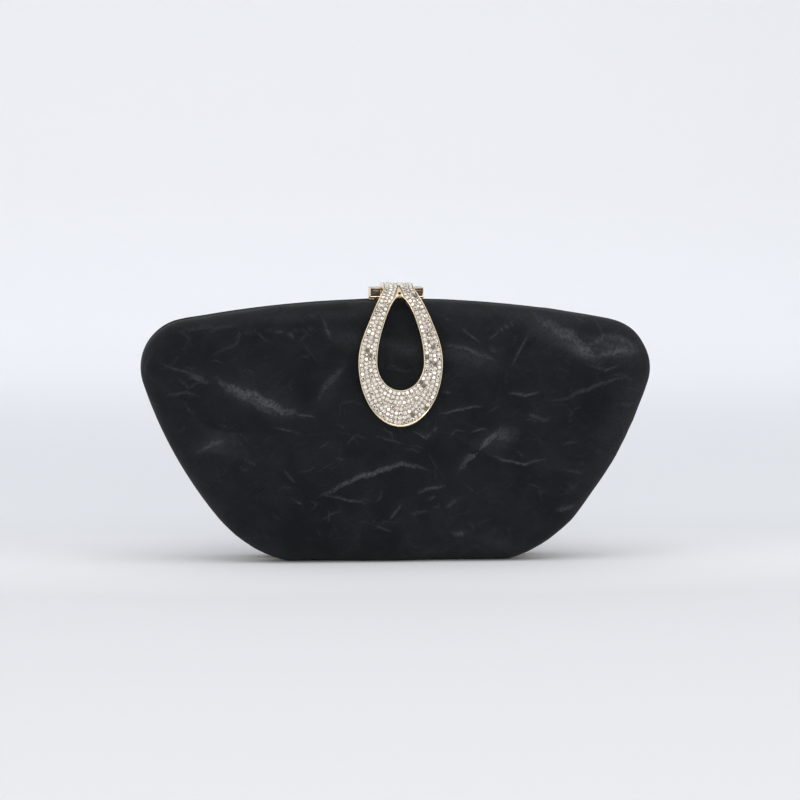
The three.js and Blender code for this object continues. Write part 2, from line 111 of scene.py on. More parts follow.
def mesh_object(name, vertices, faces, smooth=True, weld=True, sharp=None, second=()):
    """A new object from points and faces, with its faces turned out.

    weld joins doubled points. Edges that turn by more than sharp degrees stay sharp. The faces whose
    numbers are in second take the object's second material.
    """
    mesh = bpy.data.meshes.new(name)
    mesh.from_pydata([tuple(v) for v in vertices], [], faces)
    for number in second:
        mesh.polygons[number].material_index = 1
    work = bmesh.new()
    work.from_mesh(mesh)
    if weld:
        bmesh.ops.remove_doubles(work, verts=work.verts, dist=1e-6)
    bmesh.ops.recalc_face_normals(work, faces=work.faces)
    for face in work.faces:
        face.smooth = smooth
    work.to_mesh(mesh)
    work.free()
    if sharp is not None:
        mesh.set_sharp_from_angle(angle=math.radians(sharp))
    return new_object(name, mesh)


def join_meshes(name, parts, **options):
    """One object from several (vertices, faces) pairs."""
    vertices = []
    faces = []
    for part_vertices, part_faces in parts:
        start = len(vertices)
        vertices.extend(part_vertices)
        faces.extend(tuple(start + i for i in face) for face in part_faces)
    return mesh_object(name, vertices, faces, **options)


def soften(obj, width, angle=30):
    """Rounds an object's sharp edges and shades it as one smooth skin between them."""
    work = bmesh.new()
    work.from_mesh(obj.data)
    sharp = [e for e in work.edges if e.is_manifold and e.calc_face_angle() > math.radians(angle)]
    bmesh.ops.bevel(
        work, geom=sharp, offset=width, segments=2, profile=0.5, affect="EDGES", clamp_overlap=True,
    )
    work.to_mesh(obj.data)
    work.free()
    obj.data.set_sharp_from_angle(angle=math.radians(angle))
    return obj


def grid_faces(rows, columns, closed=True, looped=False, first=0):
    """Quads of a grid of points stored row by row.

    closed joins the last column to the first, and looped the last row to the first.
    """
    faces = []
    for row in range(rows if looped else rows - 1):
        low = first + row * columns
        high = first + (row + 1) % rows * columns
        for column in range(columns if closed else columns - 1):
            following = (column + 1) % columns
            faces.append((low + column, low + following, high + following, high + column))
    return faces


def sheet_faces(rows, columns):
    """Faces of a closed sheet: two grids of points, one stored after the other, joined round their edge."""
    upper = grid_faces(rows, columns, closed=False)
    under = rows * columns
    lower = [tuple(under + i for i in reversed(face)) for face in upper]
    border = list(range(columns)) + [row * columns + columns - 1 for row in range(1, rows)]
    border += [(rows - 1) * columns + column for column in range(columns - 2, -1, -1)]
    border += [row * columns for row in range(rows - 2, 0, -1)]
    edge = [(b, a, under + a, under + b) for a, b in zip(border, border[1:] + border[:1])]
    return upper + lower + edge


def box_part(low, high):
    """The points and faces of a box."""
    corners = [(x, y, z) for x in (low[0], high[0]) for y in (low[1], high[1]) for z in (low[2], high[2])]
    faces = [(0, 1, 3, 2), (4, 6, 7, 5), (0, 4, 5, 1), (2, 3, 7, 6), (0, 2, 6, 4), (1, 5, 7, 3)]
    return corners, faces


def stepped_part(rings):
    """A closed block from rectangles (low x, high x, low z, high z, y), joined one to the next."""
    vertices = []
    for x0, x1, z0, z1, y in rings:
        vertices += [(x0, y, z0), (x1, y, z0), (x1, y, z1), (x0, y, z1)]
    last = 4 * (len(rings) - 1)
    return vertices, grid_faces(len(rings), 4) + [(0, 1, 2, 3), tuple(last + i for i in range(4))]


def turned_part(profile, centre, axis, sides):
    """A solid of revolution: profile is (radius, distance along axis) pairs, closed at both ends."""
    turn = Vector(axis).normalized().to_track_quat("Z", "Y").to_matrix()
    vertices = []
    for radius, height in profile:
        for i in range(sides):
            angle = 2 * math.pi * i / sides
            local = Vector((radius * math.cos(angle), radius * math.sin(angle), height))
            vertices.append(Vector(centre) + turn @ local)
    last = (len(profile) - 1) * sides
    ends = [tuple(range(sides)), tuple(range(last, last + sides))]
    return vertices, grid_faces(len(profile), sides) + ends


def rod_part(end, length, place, sides):
    """A rod along X from place. end is the profile of either end, as (radius, distance in) pairs."""
    profile = end + [(radius, length - distance) for radius, distance in reversed(end)]
    return turned_part(profile, place, (1, 0, 0), sides)


# ---------- the outline and the layers of a half ----------

def run_step(radius, length, heading, angle):
    """How far a run of the outline goes in X and Z: straight without a radius, or an arc up to angle."""
    if radius is None:
        return np.array([length, 0.0])
    return radius * np.array([math.sin(angle) - math.sin(heading), math.cos(heading) - math.cos(angle)])


def outline(count):
    """(points, outward normals) of the outline in X and Z, evenly spaced, from the middle of the bottom."""
    arcs = [(radius * math.radians(turn), math.radians(turn), radius) for radius, turn in OUTLINE_ARCS]
    heading, across = 0.0, 0.0
    for length, turn, radius in arcs:
        across += run_step(radius, length, heading, heading + turn)[0]
        heading += turn
    runs = [(-across, 0.0, None)] + arcs
    total = sum(run[0] for run in runs)
    stations = np.arange(count // 2 + 1) * total / (count // 2)
    hair = 1e-12
    points, normals = [], []
    travelled, heading, place = 0.0, 0.0, np.zeros(2)
    for length, turn, radius in runs:
        last = radius == arcs[-1][2]
        inside = (stations >= travelled - hair) & ((stations < travelled + length - hair) | last)
        for station in stations[inside]:
            part = (station - travelled) / length
            angle = heading + turn * part
            points.append(place + run_step(radius, length * part, heading, angle))
            normals.append((math.sin(angle), -math.cos(angle)))
        place = place + run_step(radius, length, heading, heading + turn)
        travelled += length
        heading += turn
    points, normals = np.array(points), np.array(normals)
    mirror = np.array([-1.0, 1.0])
    return (
        np.concatenate([points, points[-2:0:-1] * mirror]),
        np.concatenate([normals, normals[-2:0:-1] * mirror]),
    )


def half_skin(inset, around, wall_rings, round_rings, face_rings):
    """One half's skin, in from the cloth's outside by inset, as rings of points from mouth to middle.

    Returns (points, normals), each rings x around x 3, with y as the depth from the parting plane.
    """
    points, normals = outline(around)
    wall_end = HALF_DEPTH - EDGE_ROUND_OUT
    face_depth = HALF_DEPTH - inset - CROWN
    rings, directions = [], []

    def ring(in_by, depth, sideways, outward):
        place = points - normals * in_by
        rings.append(np.column_stack([place[:, 0], np.full(around, depth), place[:, 1]]))
        directions.append(np.column_stack([
            normals[:, 0] * sideways, np.full(around, outward), normals[:, 1] * sideways,
        ]))

    for i in range(wall_rings):
        ring(inset, LAYER_EDGE + (wall_end - LAYER_EDGE) * i / wall_rings, 1.0, 0.0)
    for i in range(round_rings + 1):
        angle = math.pi / 2 * i / round_rings
        in_by = inset + (EDGE_ROUND_IN - inset) * (1 - math.cos(angle))
        depth = wall_end + (face_depth - wall_end) * math.sin(angle)
        ring(in_by, depth, math.cos(angle), math.sin(angle))
    face_edge = rings[-1]
    middle = np.array([0.0, 0.0, face_edge[:, 2].mean()])
    for i in range(1, face_rings + 1):
        part = 1 - i / face_rings
        place = middle + (face_edge - middle) * part
        place[:, 1] = face_depth + CROWN * (1 - part ** 2)
        rings.append(place)
        directions.append(np.tile([0.0, 1.0, 0.0], (around, 1)))
    return np.array(rings), np.array(directions)


def placed(skin, side):
    """A skin's points in the frame's axes, in one list; side is -1 at the front and 1 at the back."""
    points = skin.reshape(-1, 3).copy()
    points[:, 1] = PARTING + side * points[:, 1]
    return points


def layer_object(name, side, outer, inner):
    """A closed layer between an outer and an inner skin."""
    rings = np.concatenate([outer[::-1], inner])
    return mesh_object(name, placed(rings, side), grid_faces(len(rings), rings.shape[1]))


# ---------- creases in the cloth ----------

# The front's main folds: the points that each runs through (x, z in millimetres, so that the list
# reads like a drawing), its width in millimetres, and its strength.
FRONT_FOLDS = [
    ([(-102, 85.5), (-93.5, 82.5), (-81, 77.8)], 0.8, 0.55),
    ([(-90, 79.5), (-80, 77.4)], 1.5, 0.6),
    ([(-79, 78), (-67.5, 73), (-57.5, 67.8), (-43, 63.4)], 2.8, 1.0),
    ([(-74, 73.5), (-62, 68), (-52, 63)], 1.6, 0.5),
    ([(-44, 63.6), (-36, 62.2)], 0.8, 0.7),
    ([(-34.5, 28.3), (-26, 32.6), (-14.5, 37.2), (-5.5, 40.5), (2, 41.6), (12.5, 40)], 1.5, 1.0),
    ([(-33, 29.4), (-23, 26.8), (-13.5, 26)], 0.7, 0.65),
    ([(-34.5, 17.7), (-29, 21), (-24, 22.4)], 0.6, 0.4),
    ([(25, 38.3), (29, 43.6), (35, 48.8), (41, 54.2), (45, 57.4)], 1.9, 1.0),
    ([(41, 55), (50.5, 53.6)], 0.9, 0.6),
    ([(30, 55.1), (37, 57.3)], 0.6, 0.75),
    ([(35, 44.4), (46, 43), (53, 41.7), (63, 43.8)], 0.8, 0.8),
    ([(5, 56.6), (11.3, 52.8), (16.6, 58)], 0.7, 0.75),
    ([(-11.5, 54.3), (3, 50.5)], 0.6, 0.45),
    ([(-23, 50), (-18.7, 54.3), (-14.3, 52.9)], 0.7, 0.4),
    ([(-54, 58.3), (-41.5, 54.6)], 0.6, 0.6),
    ([(-87, 47), (-80, 50.5), (-73.5, 52.8)], 1.4, 0.6),
    ([(-99.5, 70.9), (-91, 73.2), (-84.5, 71.4)], 0.8, 0.45),
    ([(-96.5, 98), (-82, 100.3), (-67.5, 101)], 0.9, 0.5),
    ([(-80.5, 88), (-69, 93), (-67.5, 98), (-61.5, 99), (-57.5, 95.2), (-56, 92)], 0.6, 0.6),
    ([(-57.5, 98.9), (-46, 97.8), (-34, 99)], 0.9, 0.7),
    ([(-33, 105), (-31, 99), (-29, 94)], 0.9, 0.55),
    ([(-35, 68.7), (-31.6, 74.4), (-23, 84.5)], 1.6, 0.45),
    ([(-49.6, 40), (-44.5, 34.2)], 0.6, 0.5),
    ([(-48, 28.6), (-41, 24.2)], 0.6, 0.7),
    ([(-66, 45), (-61, 42)], 0.7, 0.5),
    ([(19, 92), (28, 91.2), (41, 85.4)], 1.2, 0.6),
    ([(25, 100.3), (34.8, 93)], 0.6, 0.75),
    ([(37.4, 94.5), (44.6, 99.6), (50.5, 102.2)], 0.6, 0.75),
    ([(56, 99), (50.5, 89), (47.5, 83)], 0.6, 0.75),
    ([(56, 105), (66, 100), (74, 94), (84, 85.5)], 3.0, 0.75),
    ([(79.5, 92), (86, 94.6), (93, 95.6), (101.5, 90.4)], 1.5, 0.7),
    ([(84, 86.5), (93, 90), (104, 88.5)], 1.6, 0.7),
    ([(80, 84), (88, 81.6), (94, 83.4)], 0.8, 0.6),
    ([(67.5, 67.3), (77.5, 72.8), (97.8, 78.8)], 1.3, 0.5),
    ([(46, 72.4), (53, 71.2), (60, 71.8)], 1.0, 0.8),
    ([(54, 62.2), (64, 60)], 1.3, 0.5),
    ([(16.6, 63.6), (23, 64.4), (35.5, 66.6)], 0.9, 0.8),
    ([(18, 73), (21.8, 71.6)], 0.7, 0.6),
    ([(7, 29.9), (13, 31.2), (19.7, 32.6)], 0.9, 0.85),
    ([(12, 26.3), (15.5, 28.7)], 0.6, 0.6),
    ([(4.2, 20.6), (12.5, 22.2)], 0.7, 0.6),
    ([(-4.5, 18.2), (1, 25)], 0.8, 0.8),
    ([(19.5, 23.5), (24.7, 26.4)], 0.9, 0.7),
    ([(-11.5, 16.4), (-3.5, 13.3)], 0.6, 0.55),
    ([(22, 12.4), (29, 12.8)], 1.1, 0.85),
    ([(66.8, 20.4), (76.5, 24.3)], 1.3, 0.8),
    ([(69, 40), (79, 37)], 0.8, 0.4),
]
# Painted light patches: wide, faintly paler places where light falls on the cloth: (x, z), half their
# length and width in millimetres, tilt, strength.
FRONT_LIGHT_PATCHES = [
    ((30, 87.5), (13, 4.2), -14, 0.45),
    ((65, 97.5), (15, 4), -30, 0.55),
    ((77.5, 89.5), (5.5, 2.6), -28, 0.8),
    ((93, 90.5), (11, 4.6), -4, 0.8),
    ((-59, 68.5), (17, 4), -24, 0.35),
    ((-21, 95), (9, 4), -20, 0.32),
    ((-29, 76), (3.5, 12), -30, 0.22),
    ((0, 91.5), (12, 3.2), -15, 0.42),
    ((44, 7), (10, 3), -18, 0.40),
    ((-79, 50), (8, 4), 12, 0.30),
    ((99, 62), (9, 30), -28, 0.30),
    ((40, 52), (6, 3), 40, 0.35),
    ((-45, 105), (45, 2.2), 3, 0.30),
    ((45, 106), (40, 2.2), -4, 0.28),
]


def along_route(place, route):
    """(signed distance, share of the route) of the nearest point of a route to each place.

    The distance is positive above the route and negative below it.
    """
    spans = np.linalg.norm(np.diff(route, axis=0), axis=1)
    starts = np.concatenate([[0], np.cumsum(spans)])
    best = np.full(len(place), np.inf)
    side = np.zeros(len(place))
    part = np.zeros(len(place))
    for i, span in enumerate(spans):
        along = (route[i + 1] - route[i]) / span
        relative = place - route[i]
        forward = np.clip(relative @ along, 0, span)
        distance = np.linalg.norm(relative - forward[:, None] * along, axis=1)
        nearer = distance < best
        best = np.where(nearer, distance, best)
        cross = relative[:, 1] * along[0] - relative[:, 0] * along[1]
        upwards = 1.0 if along[0] >= 0 else -1.0
        side = np.where(nearer, np.sign(cross) * upwards * distance, side)
        part = np.where(nearer, (starts[i] + forward) / starts[-1], part)
    return side, part


def two_sided(side, above, below):
    """1 on a line, fading over one distance above it and over another below it."""
    return np.where(side > 0, np.exp(-side / above), np.exp(side / below))


def fold_field(x, z, folds):
    """(height in metres, paleness) of a list of folds at points x, z, both in millimetres. The paleness is
    wear along each fold, with painted light on its upper side.
    """
    height = np.zeros_like(x)
    pale = np.zeros_like(x)
    waves = ((0.30, 0.31, 2.1), (0.18, 0.77, 1.0), (0.10, 1.9, 0.7))    # size, pitch, shift by fold
    for number, (route, width, strength) in enumerate(folds):
        route = np.array(route, float)
        margin = 8 * width + 2
        low, high = route.min(axis=0) - margin, route.max(axis=0) + margin
        near = np.flatnonzero((x > low[0]) & (x < high[0]) & (z > low[1]) & (z < high[1]))
        if not len(near):
            continue
        place = np.column_stack([x[near], z[near]])
        place[:, 1] += width * sum(
            size * np.sin(pitch * place[:, 0] + shift * number) for size, pitch, shift in waves
        )
        side, part = along_route(place, route)
        taper = np.clip(1 - (2 * part - 1) ** 2, 0.02, 1) ** 0.6
        reach = width * (0.4 + 0.6 * taper)
        ridge = two_sided(side, 1.7 * reach, 0.6 * reach)
        height[near] += 0.34 * MM * width ** 0.5 * strength * taper * ridge
        band = np.clip((1.05 * reach - side) / (0.45 * reach), 0, 1)
        band *= np.clip((side + 0.6 * reach) / (0.35 * reach), 0, 1)
        # painted light: a haze that fades slowly above the fold, on its upward-facing side, and fast below
        # it
        lit_side_haze = 0.22 * two_sided(side, 1.5 * reach, 0.5 * reach)
        pale[near] = np.maximum(pale[near], strength * taper * np.maximum(band, lit_side_haze))
    return height, pale


def light_patch_field(x, z, light_patches):
    """How pale a list of painted light patches makes points x, z, both in millimetres."""
    pale = np.zeros_like(x)
    for (middle_x, middle_z), (length, width), tilt, strength in light_patches:
        angle = math.radians(tilt)
        along = (x - middle_x) * math.cos(angle) + (z - middle_z) * math.sin(angle)
        side = (z - middle_z) * math.cos(angle) - (x - middle_x) * math.sin(angle)
        pale += strength * np.exp(-(along / length) ** 2 - (side / width) ** 2)
    return pale


def random_folds(count, seed):
    """Short folds scattered over a face, running more along the purse than up it."""
    draw = random.Random(seed)
    folds = []
    for _ in range(count):
        x, z = draw.uniform(-104, 104), draw.uniform(2, 110)
        angle = draw.gauss(0.1, 0.8)
        length = draw.uniform(4, 15)
        bend = angle + draw.gauss(0, 0.7)
        middle = (x + 0.5 * length * math.cos(angle), z + 0.5 * length * math.sin(angle))
        end = (middle[0] + 0.5 * length * math.cos(bend), middle[1] + 0.5 * length * math.sin(bend))
        folds.append(([(x, z), middle, end], draw.uniform(0.35, 0.8), draw.uniform(0.1, 0.42)))
    return folds


def scattered(draw, count, x_reach, z_range, stretch=1.0):
    """A search tree of random points in and round the purse, pressed together along X by stretch."""
    tree = KDTree(count)
    for i in range(count):
        x = draw.uniform(-x_reach, x_reach) / stretch
        y = PARTING + draw.uniform(-0.03, 0.03)
        tree.insert((x, y, draw.uniform(*z_range)), i)
    tree.balance()
    return tree


def two_nearest(tree, points):
    """The numbers of the two points of a tree nearest to each point, and their distances."""
    hits = [tree.find_n(point, 2) for point in points.tolist()]
    numbers = np.array([(first[1], second[1]) for first, second in hits])
    return numbers, np.array([(first[2], second[2]) for first, second in hits])


def crumple(points, count, seed):
    """(distance to the nearest cell's middle, distance to the border between cells) at 3-D points."""
    tree = scattered(random.Random(seed), count, 0.125, (-0.015, 0.13))
    _, reach = two_nearest(tree, points)
    return reach[:, 0], reach[:, 1] - reach[:, 0]


def planks(points, count, seed, tilt, stretch):
    """(tone, distance to the border) of long flat patches, tilt degrees up from the purse's length."""
    angle = math.radians(tilt)
    along = points[:, 0] * math.cos(angle) + points[:, 2] * math.sin(angle)
    across = points[:, 2] * math.cos(angle) - points[:, 0] * math.sin(angle)
    turned = np.column_stack([along / stretch, points[:, 1], across])
    draw = random.Random(seed)
    tree = scattered(draw, count, 0.13, (-0.07, 0.17), stretch)
    tones = np.array([draw.random() for _ in range(count)])
    numbers, reach = two_nearest(tree, turned)
    border = reach[:, 1] - reach[:, 0]
    own, other = tones[numbers[:, 0]], tones[numbers[:, 1]]
    inside = np.clip(border / (0.8 * MM), 0, 1)
    return own * (0.5 + 0.5 * inside) + other * (0.5 - 0.5 * inside), border


def pushed_about(place, size, pitch, seed):
    """Points moved by up to size in slow waves, so that cells on them get bent borders."""
    return place + size * np.sin(place[:, [2, 0, 1]] * pitch + seed)


def facets(place, seed):
    """How pale each point's flat patch is, 0 to 1, as painted light and shade of crumpled facets, and how
    much of a worn border it lies on.
    """
    wandering = pushed_about(place, 1.6 * MM, 230, seed)
    falling, falling_border = planks(wandering, 190, seed + 2, -24, 3.2)
    rising, rising_border = planks(wandering, 420, seed + 3, 32, 2.4)
    tone = 0.6 * falling + 0.4 * rising
    worn = np.exp(-falling_border / (0.5 * MM)) * np.clip(3 * falling - 1.8, 0, 1)
    worn += 0.7 * np.exp(-rising_border / (0.4 * MM)) * np.clip(4 * rising - 3, 0, 1)
    return tone, worn


def cloth_cover(name, side, folds, light_patches, seed):
    """The cloth over one half: a smooth skin, displaced by its folds, patches and crumples."""
    around = 800
    sunk = 0.3 * MM            # the skin starts lower, so that its folds end near the CAD cover's face
    mouth_fade = 3 * MM
    outer, directions = half_skin(0, around, 5, 13, 84)
    inner, _ = half_skin(CLOTH, around, 2, 4, 8)
    flat, outwards = outer.reshape(-1, 3), directions.reshape(-1, 3)
    place = placed(outer, side)
    fold_height, _ = fold_field(place[:, 0] / MM, place[:, 2] / MM, folds)
    wandering = pushed_about(place, 2.5 * MM, 190, seed)
    large, large_border = crumple(wandering, 120, seed)
    small, small_border = crumple(wandering, 1100, seed + 1)
    tone, worn = facets(place, seed)
    plates = 0.055 * (large - large.mean()) + 0.06 * (small - small.mean())
    plates += 0.16 * MM * (tone - 0.5) + 0.08 * MM * worn
    ridges = 0.08 * MM * np.exp(-large_border / (1.2 * MM))
    ridges = ridges + 0.05 * MM * np.exp(-small_border / (0.7 * MM))
    face_share = outwards[:, 1]
    mouth = np.clip((flat[:, 1] - LAYER_EDGE) / mouth_fade, 0, 1)
    height = fold_height * face_share + (plates + ridges) * (0.35 + 0.65 * face_share) - sunk
    outer = (flat + outwards * (height * mouth)[:, None]).reshape(outer.shape)
    obj = layer_object(name, side, outer, inner)
    paint_folds(obj, side, folds, light_patches, seed)
    return obj


def paint_folds(obj, side, folds, light_patches, seed):
    """Stores how pale each point of the cloth is: on its folds (wear, with painted light on their upper
    sides), its painted light patches, and its flat patches (painted light and shade of crumpled facets).
    """
    mesh = obj.data
    place = np.empty(len(mesh.vertices) * 3)
    mesh.vertices.foreach_get("co", place)
    x, y, z = place.reshape(-1, 3).T
    facing = np.clip(side * (y - PARTING) / HALF_DEPTH * 2 - 1, 0, 1)
    _, pale = fold_field(x / MM, z / MM, folds)
    lit_patch = light_patch_field(x / MM, z / MM, light_patches)
    tone, worn = facets(place.reshape(-1, 3), seed)
    painted = (("pale", pale * facing), ("lit_patch", lit_patch * facing), ("facet", tone), ("worn", worn))
    for label, values in painted:
        attribute = mesh.attributes.new(label, "FLOAT", "POINT")
        attribute.data.foreach_set("value", values.astype(np.float32))


# ---------- materials ----------

class Finish:
    """A Principled material and short ways to add procedural nodes to it."""

    def __init__(self, name, color, roughness, metallic=0.0, **fixed):
        self.material = bpy.data.materials.new(name)
        self.material.use_nodes = True
        self.nodes = self.material.node_tree.nodes
        self.links = self.material.node_tree.links
        self.shader = self.nodes["Principled BSDF"]
        self.shader.inputs["Base Color"].default_value = (*color, 1)
        self.shader.inputs["Roughness"].default_value = roughness
        self.shader.inputs["Metallic"].default_value = metallic
        for socket, value in fixed.items():
            self.shader.inputs[socket.replace("_", " ")].default_value = value
        self.place = self.nodes.new("ShaderNodeTexCoord").outputs["Object"]

    def feed(self, socket, value):
        """Links a socket to another node's, or sets it to a plain value."""
        if isinstance(value, bpy.types.NodeSocket):
            self.links.new(value, socket)
        else:
            socket.default_value = value

    def add(self, kind, settings=None, **inputs):
        """A node with its settings, and its inputs by name."""
        node = self.nodes.new(kind)
        for key, value in (settings or {}).items():
            setattr(node, key, value)
        for key, value in inputs.items():
            self.feed(node.inputs[key.replace("_", " ")], value)
        return node

    def noise(self, size, detail=3.0, distortion=0.0, place=None):
        """Noise with features of about size metres."""
        node = self.add(
            "ShaderNodeTexNoise", Vector=place or self.place, Scale=1 / size, Detail=detail,
            Distortion=distortion,
        )
        return node.outputs["Fac"]

    def ramp(self, value, low, high, to_low=0.0, to_high=1.0):
        """A value between low and high, moved to between to_low and to_high and kept there."""
        node = self.add(
            "ShaderNodeMapRange", {"clamp": True}, Value=value,
            From_Min=low, From_Max=high, To_Min=to_low, To_Max=to_high,
        )
        return node.outputs["Result"]

    def math(self, operation, first, second):
        node = self.add("ShaderNodeMath", {"operation": operation})
        for socket, value in zip(node.inputs, (first, second)):
            self.feed(socket, value)
        return node.outputs[0]

    def times(self, first, second):
        return self.math("MULTIPLY", first, second)

    def plus(self, first, second):
        return self.math("ADD", first, second)

    def mix(self, factor, first, second):
        """A colour between two, each a plain colour or another node's."""
        node = self.add("ShaderNodeMix", {"data_type": "RGBA"})
        self.links.new(factor, node.inputs["Factor"])
        for index, value in ((6, first), (7, second)):
            self.feed(node.inputs[index], (*value, 1) if isinstance(value, tuple) else value)
        return node.outputs[2]

    def vector(self, operation, *values, **named):
        node = self.add("ShaderNodeVectorMath", {"operation": operation}, **named)
        for socket, value in zip(node.inputs, values):
            self.feed(socket, value)
        return node.outputs

    def wandering(self, size, amount):
        """The place, pushed about by noise, for lines that wander."""
        noise = self.add("ShaderNodeTexNoise", Vector=self.place, Scale=1 / size, Detail=2.0)
        centred = self.vector("SUBTRACT", noise.outputs["Color"], (0.5, 0.5, 0.5))[0]
        scaled = self.vector("SCALE", centred, Scale=amount)[0]
        return self.vector("ADD", self.place, scaled)[0]

    def lines(self, noise, width):
        """1 along the lines where noise is at its middle, fading to 0 beside them."""
        off_middle = self.math("ABSOLUTE", self.math("SUBTRACT", noise, 0.5), 0.0)
        return self.ramp(off_middle, 0.0, width, 1.0, 0.0)

    def scratches(self, tilt, length, breadth, width):
        """Nearly straight, broken lines, tilt degrees up from the purse's length."""
        turned = self.add(
            "ShaderNodeMapping", {"vector_type": "TEXTURE"}, Vector=self.wandering(9 * MM, 2 * MM),
            Rotation=(0, -math.radians(tilt), 0), Scale=(length, length, breadth),
        )
        return self.lines(self.noise(1.0, place=turned.outputs["Vector"]), width)

    def attribute(self, name):
        return self.add("ShaderNodeAttribute", {"attribute_name": name}).outputs["Fac"]

    def color(self, value):
        self.links.new(value, self.shader.inputs["Base Color"])

    def roughness(self, value):
        self.links.new(value, self.shader.inputs["Roughness"])

    def bump(self, height, distance, strength, under=None):
        """Small relief, on top of an earlier bump if under gives one."""
        node = self.add("ShaderNodeBump", Height=height, Distance=distance, Strength=strength)
        if under is not None:
            self.links.new(under, node.inputs["Normal"])
        self.links.new(node.outputs["Normal"], self.shader.inputs["Normal"])
        return node.outputs["Normal"]


def cloth_finish():
    """Black suede-like cloth with worn, pale creases, painted light on wide patches and on crumpled facets,
    and a short nap.
    """
    f = Finish(
        "crinkled_cloth", (0.009, 0.0102, 0.0122), 0.85,
        Sheen_Weight=0.045, Sheen_Roughness=0.5, Specular_IOR_Level=0.12,
    )

    # fine creases, broken up by noise so that they come and go
    coarse = f.lines(f.noise(20 * MM, 4.0, 1.2), 0.016)
    coarse = f.times(coarse, f.ramp(f.noise(17 * MM, 2.0), 0.50, 0.66))
    rising = f.scratches(38, 14 * MM, 2.6 * MM, 0.030)
    rising = f.times(rising, f.ramp(f.noise(13 * MM, 2.0, 0.6), 0.50, 0.64))
    falling = f.scratches(-24, 16 * MM, 2.2 * MM, 0.028)
    falling = f.times(falling, f.ramp(f.noise(11 * MM, 2.0, 0.6), 0.52, 0.66))
    fine = f.math("MAXIMUM", rising, falling)

    # the cloth's tone: clouds and nap of its own, and flat patches toned as painted light and shade of
    # crumpled facets
    cloud = f.ramp(f.noise(34 * MM, 2.0, 0.5), 0.35, 0.75)
    cloud = f.plus(f.times(cloud, 0.35), f.times(f.attribute("facet"), 0.65))
    mottle = f.ramp(f.noise(12 * MM, 3.0, 0.9), 0.38, 0.68)
    cloud = f.plus(f.times(cloud, 0.62), f.times(mottle, 0.38))
    base = f.mix(cloud, (0.0034, 0.0047, 0.0060), (0.0145, 0.0166, 0.0190))
    nap = f.noise(0.45 * MM, 2.0)
    with_nap = f.mix(f.ramp(nap, 0.3, 0.7, 0.0, 0.35), base, (0.0150, 0.0170, 0.0196))

    # paler where folds are worn (with painted light on their upper sides) and on the painted light patches,
    # in streaks
    streaks = f.noise(1.3 * MM, 4.0, 1.4)
    worn = f.times(f.attribute("pale"), f.ramp(streaks, 0.36, 0.60, 0.30, 1.1))
    # painted light on the wide patches, broken into streaks
    patch_paleness = f.times(f.attribute("lit_patch"), f.ramp(streaks, 0.38, 0.62, 0.45, 0.95))
    creased = f.plus(f.times(coarse, 0.14), f.times(fine, 0.10))
    creased = f.plus(creased, f.times(f.attribute("worn"), 0.22))
    pale = f.math("MINIMUM", f.plus(f.plus(worn, patch_paleness), creased), 1.3)
    f.color(f.mix(f.times(pale, 0.68), with_nap, (0.076, 0.079, 0.086)))
    f.roughness(f.ramp(pale, 0.0, 1.0, 0.88, 0.66))

    creases = f.bump(f.plus(f.times(coarse, 0.6), f.times(fine, 0.6)), 0.2 * MM, 0.9)
    f.bump(f.plus(f.times(streaks, 0.6), nap), 0.06 * MM, 0.8, creases)
    return f.material


def satin_finish():
    """Smooth black satin with a fine diagonal weave, a soft sheen, and painted sheen and shade on its
    folds.
    """
    color = (0.010, 0.010, 0.012)
    f = Finish(
        "black_satin", color, 0.38, Sheen_Weight=0.35, Sheen_Roughness=0.3, Specular_IOR_Level=0.6,
    )
    weave = f.add(
        "ShaderNodeTexWave", {"bands_direction": "DIAGONAL"}, Vector=f.place, Scale=1 / (1.2 * MM),
        Distortion=0.6, Detail=1.0,
    )
    folds = f.noise(18 * MM, 3.0, 1.0)
    # Painted sheen and shade: lighter on the crests of the folds and darker in their hollows.
    f.color(f.mix(f.ramp(folds, 0.3, 0.7), color, tuple(2.4 * c for c in color)))
    f.roughness(f.ramp(folds, 0.3, 0.7, 0.3, 0.48))
    f.bump(weave.outputs["Fac"], 0.03 * MM, 0.5, f.bump(folds, 0.7 * MM, 0.5))
    return f.material


def metal_finish(name, color, roughness):
    """Plated metal with a slightly uneven polish."""
    f = Finish(name, color, roughness, 1.0)
    cloud = f.noise(3 * MM, 4.0, 0.6)
    fine = f.noise(0.25 * MM, 2.0)
    worn = 0.35
    f.roughness(f.ramp(cloud, 0.3, 0.75, roughness * (1 - worn), roughness * (1 + 2 * worn)))
    f.color(f.mix(f.ramp(cloud, 0.35, 0.8, 0.0, 0.5), color, tuple(0.82 * c for c in color)))
    f.bump(fine, 0.004 * MM, 0.4, f.bump(cloud, 0.03 * MM, 0.25))
    return f.material


def plastic_finish():
    """Matt moulded plastic with a fine grain."""
    f = Finish("moulded_plastic", (0.025, 0.025, 0.027), 0.5)
    f.bump(f.noise(0.6 * MM, 3.0), 0.03 * MM, 0.5)
    f.color(f.mix(f.noise(9 * MM), (0.02, 0.02, 0.022), (0.032, 0.032, 0.034)))
    return f.material


def foam_finish():
    """Cream foam with open pores, coloured darker inside them as painted shade."""
    f = Finish("foam", (0.62, 0.58, 0.48), 0.95)
    pore, wall = 0.8 * MM, 0.3 * MM
    cells = f.add(
        "ShaderNodeTexVoronoi", {"feature": "DISTANCE_TO_EDGE"}, Vector=f.place, Scale=1 / pore,
    )
    walls = f.ramp(cells.outputs["Distance"], 0.0, wall / pore, 1.0, 0.0)
    # Painted shade: the pores are darker than the walls between them.
    f.color(f.mix(walls, (0.5, 0.46, 0.37), (0.66, 0.62, 0.52)))
    f.bump(walls, 0.15 * MM, 0.8)
    return f.material


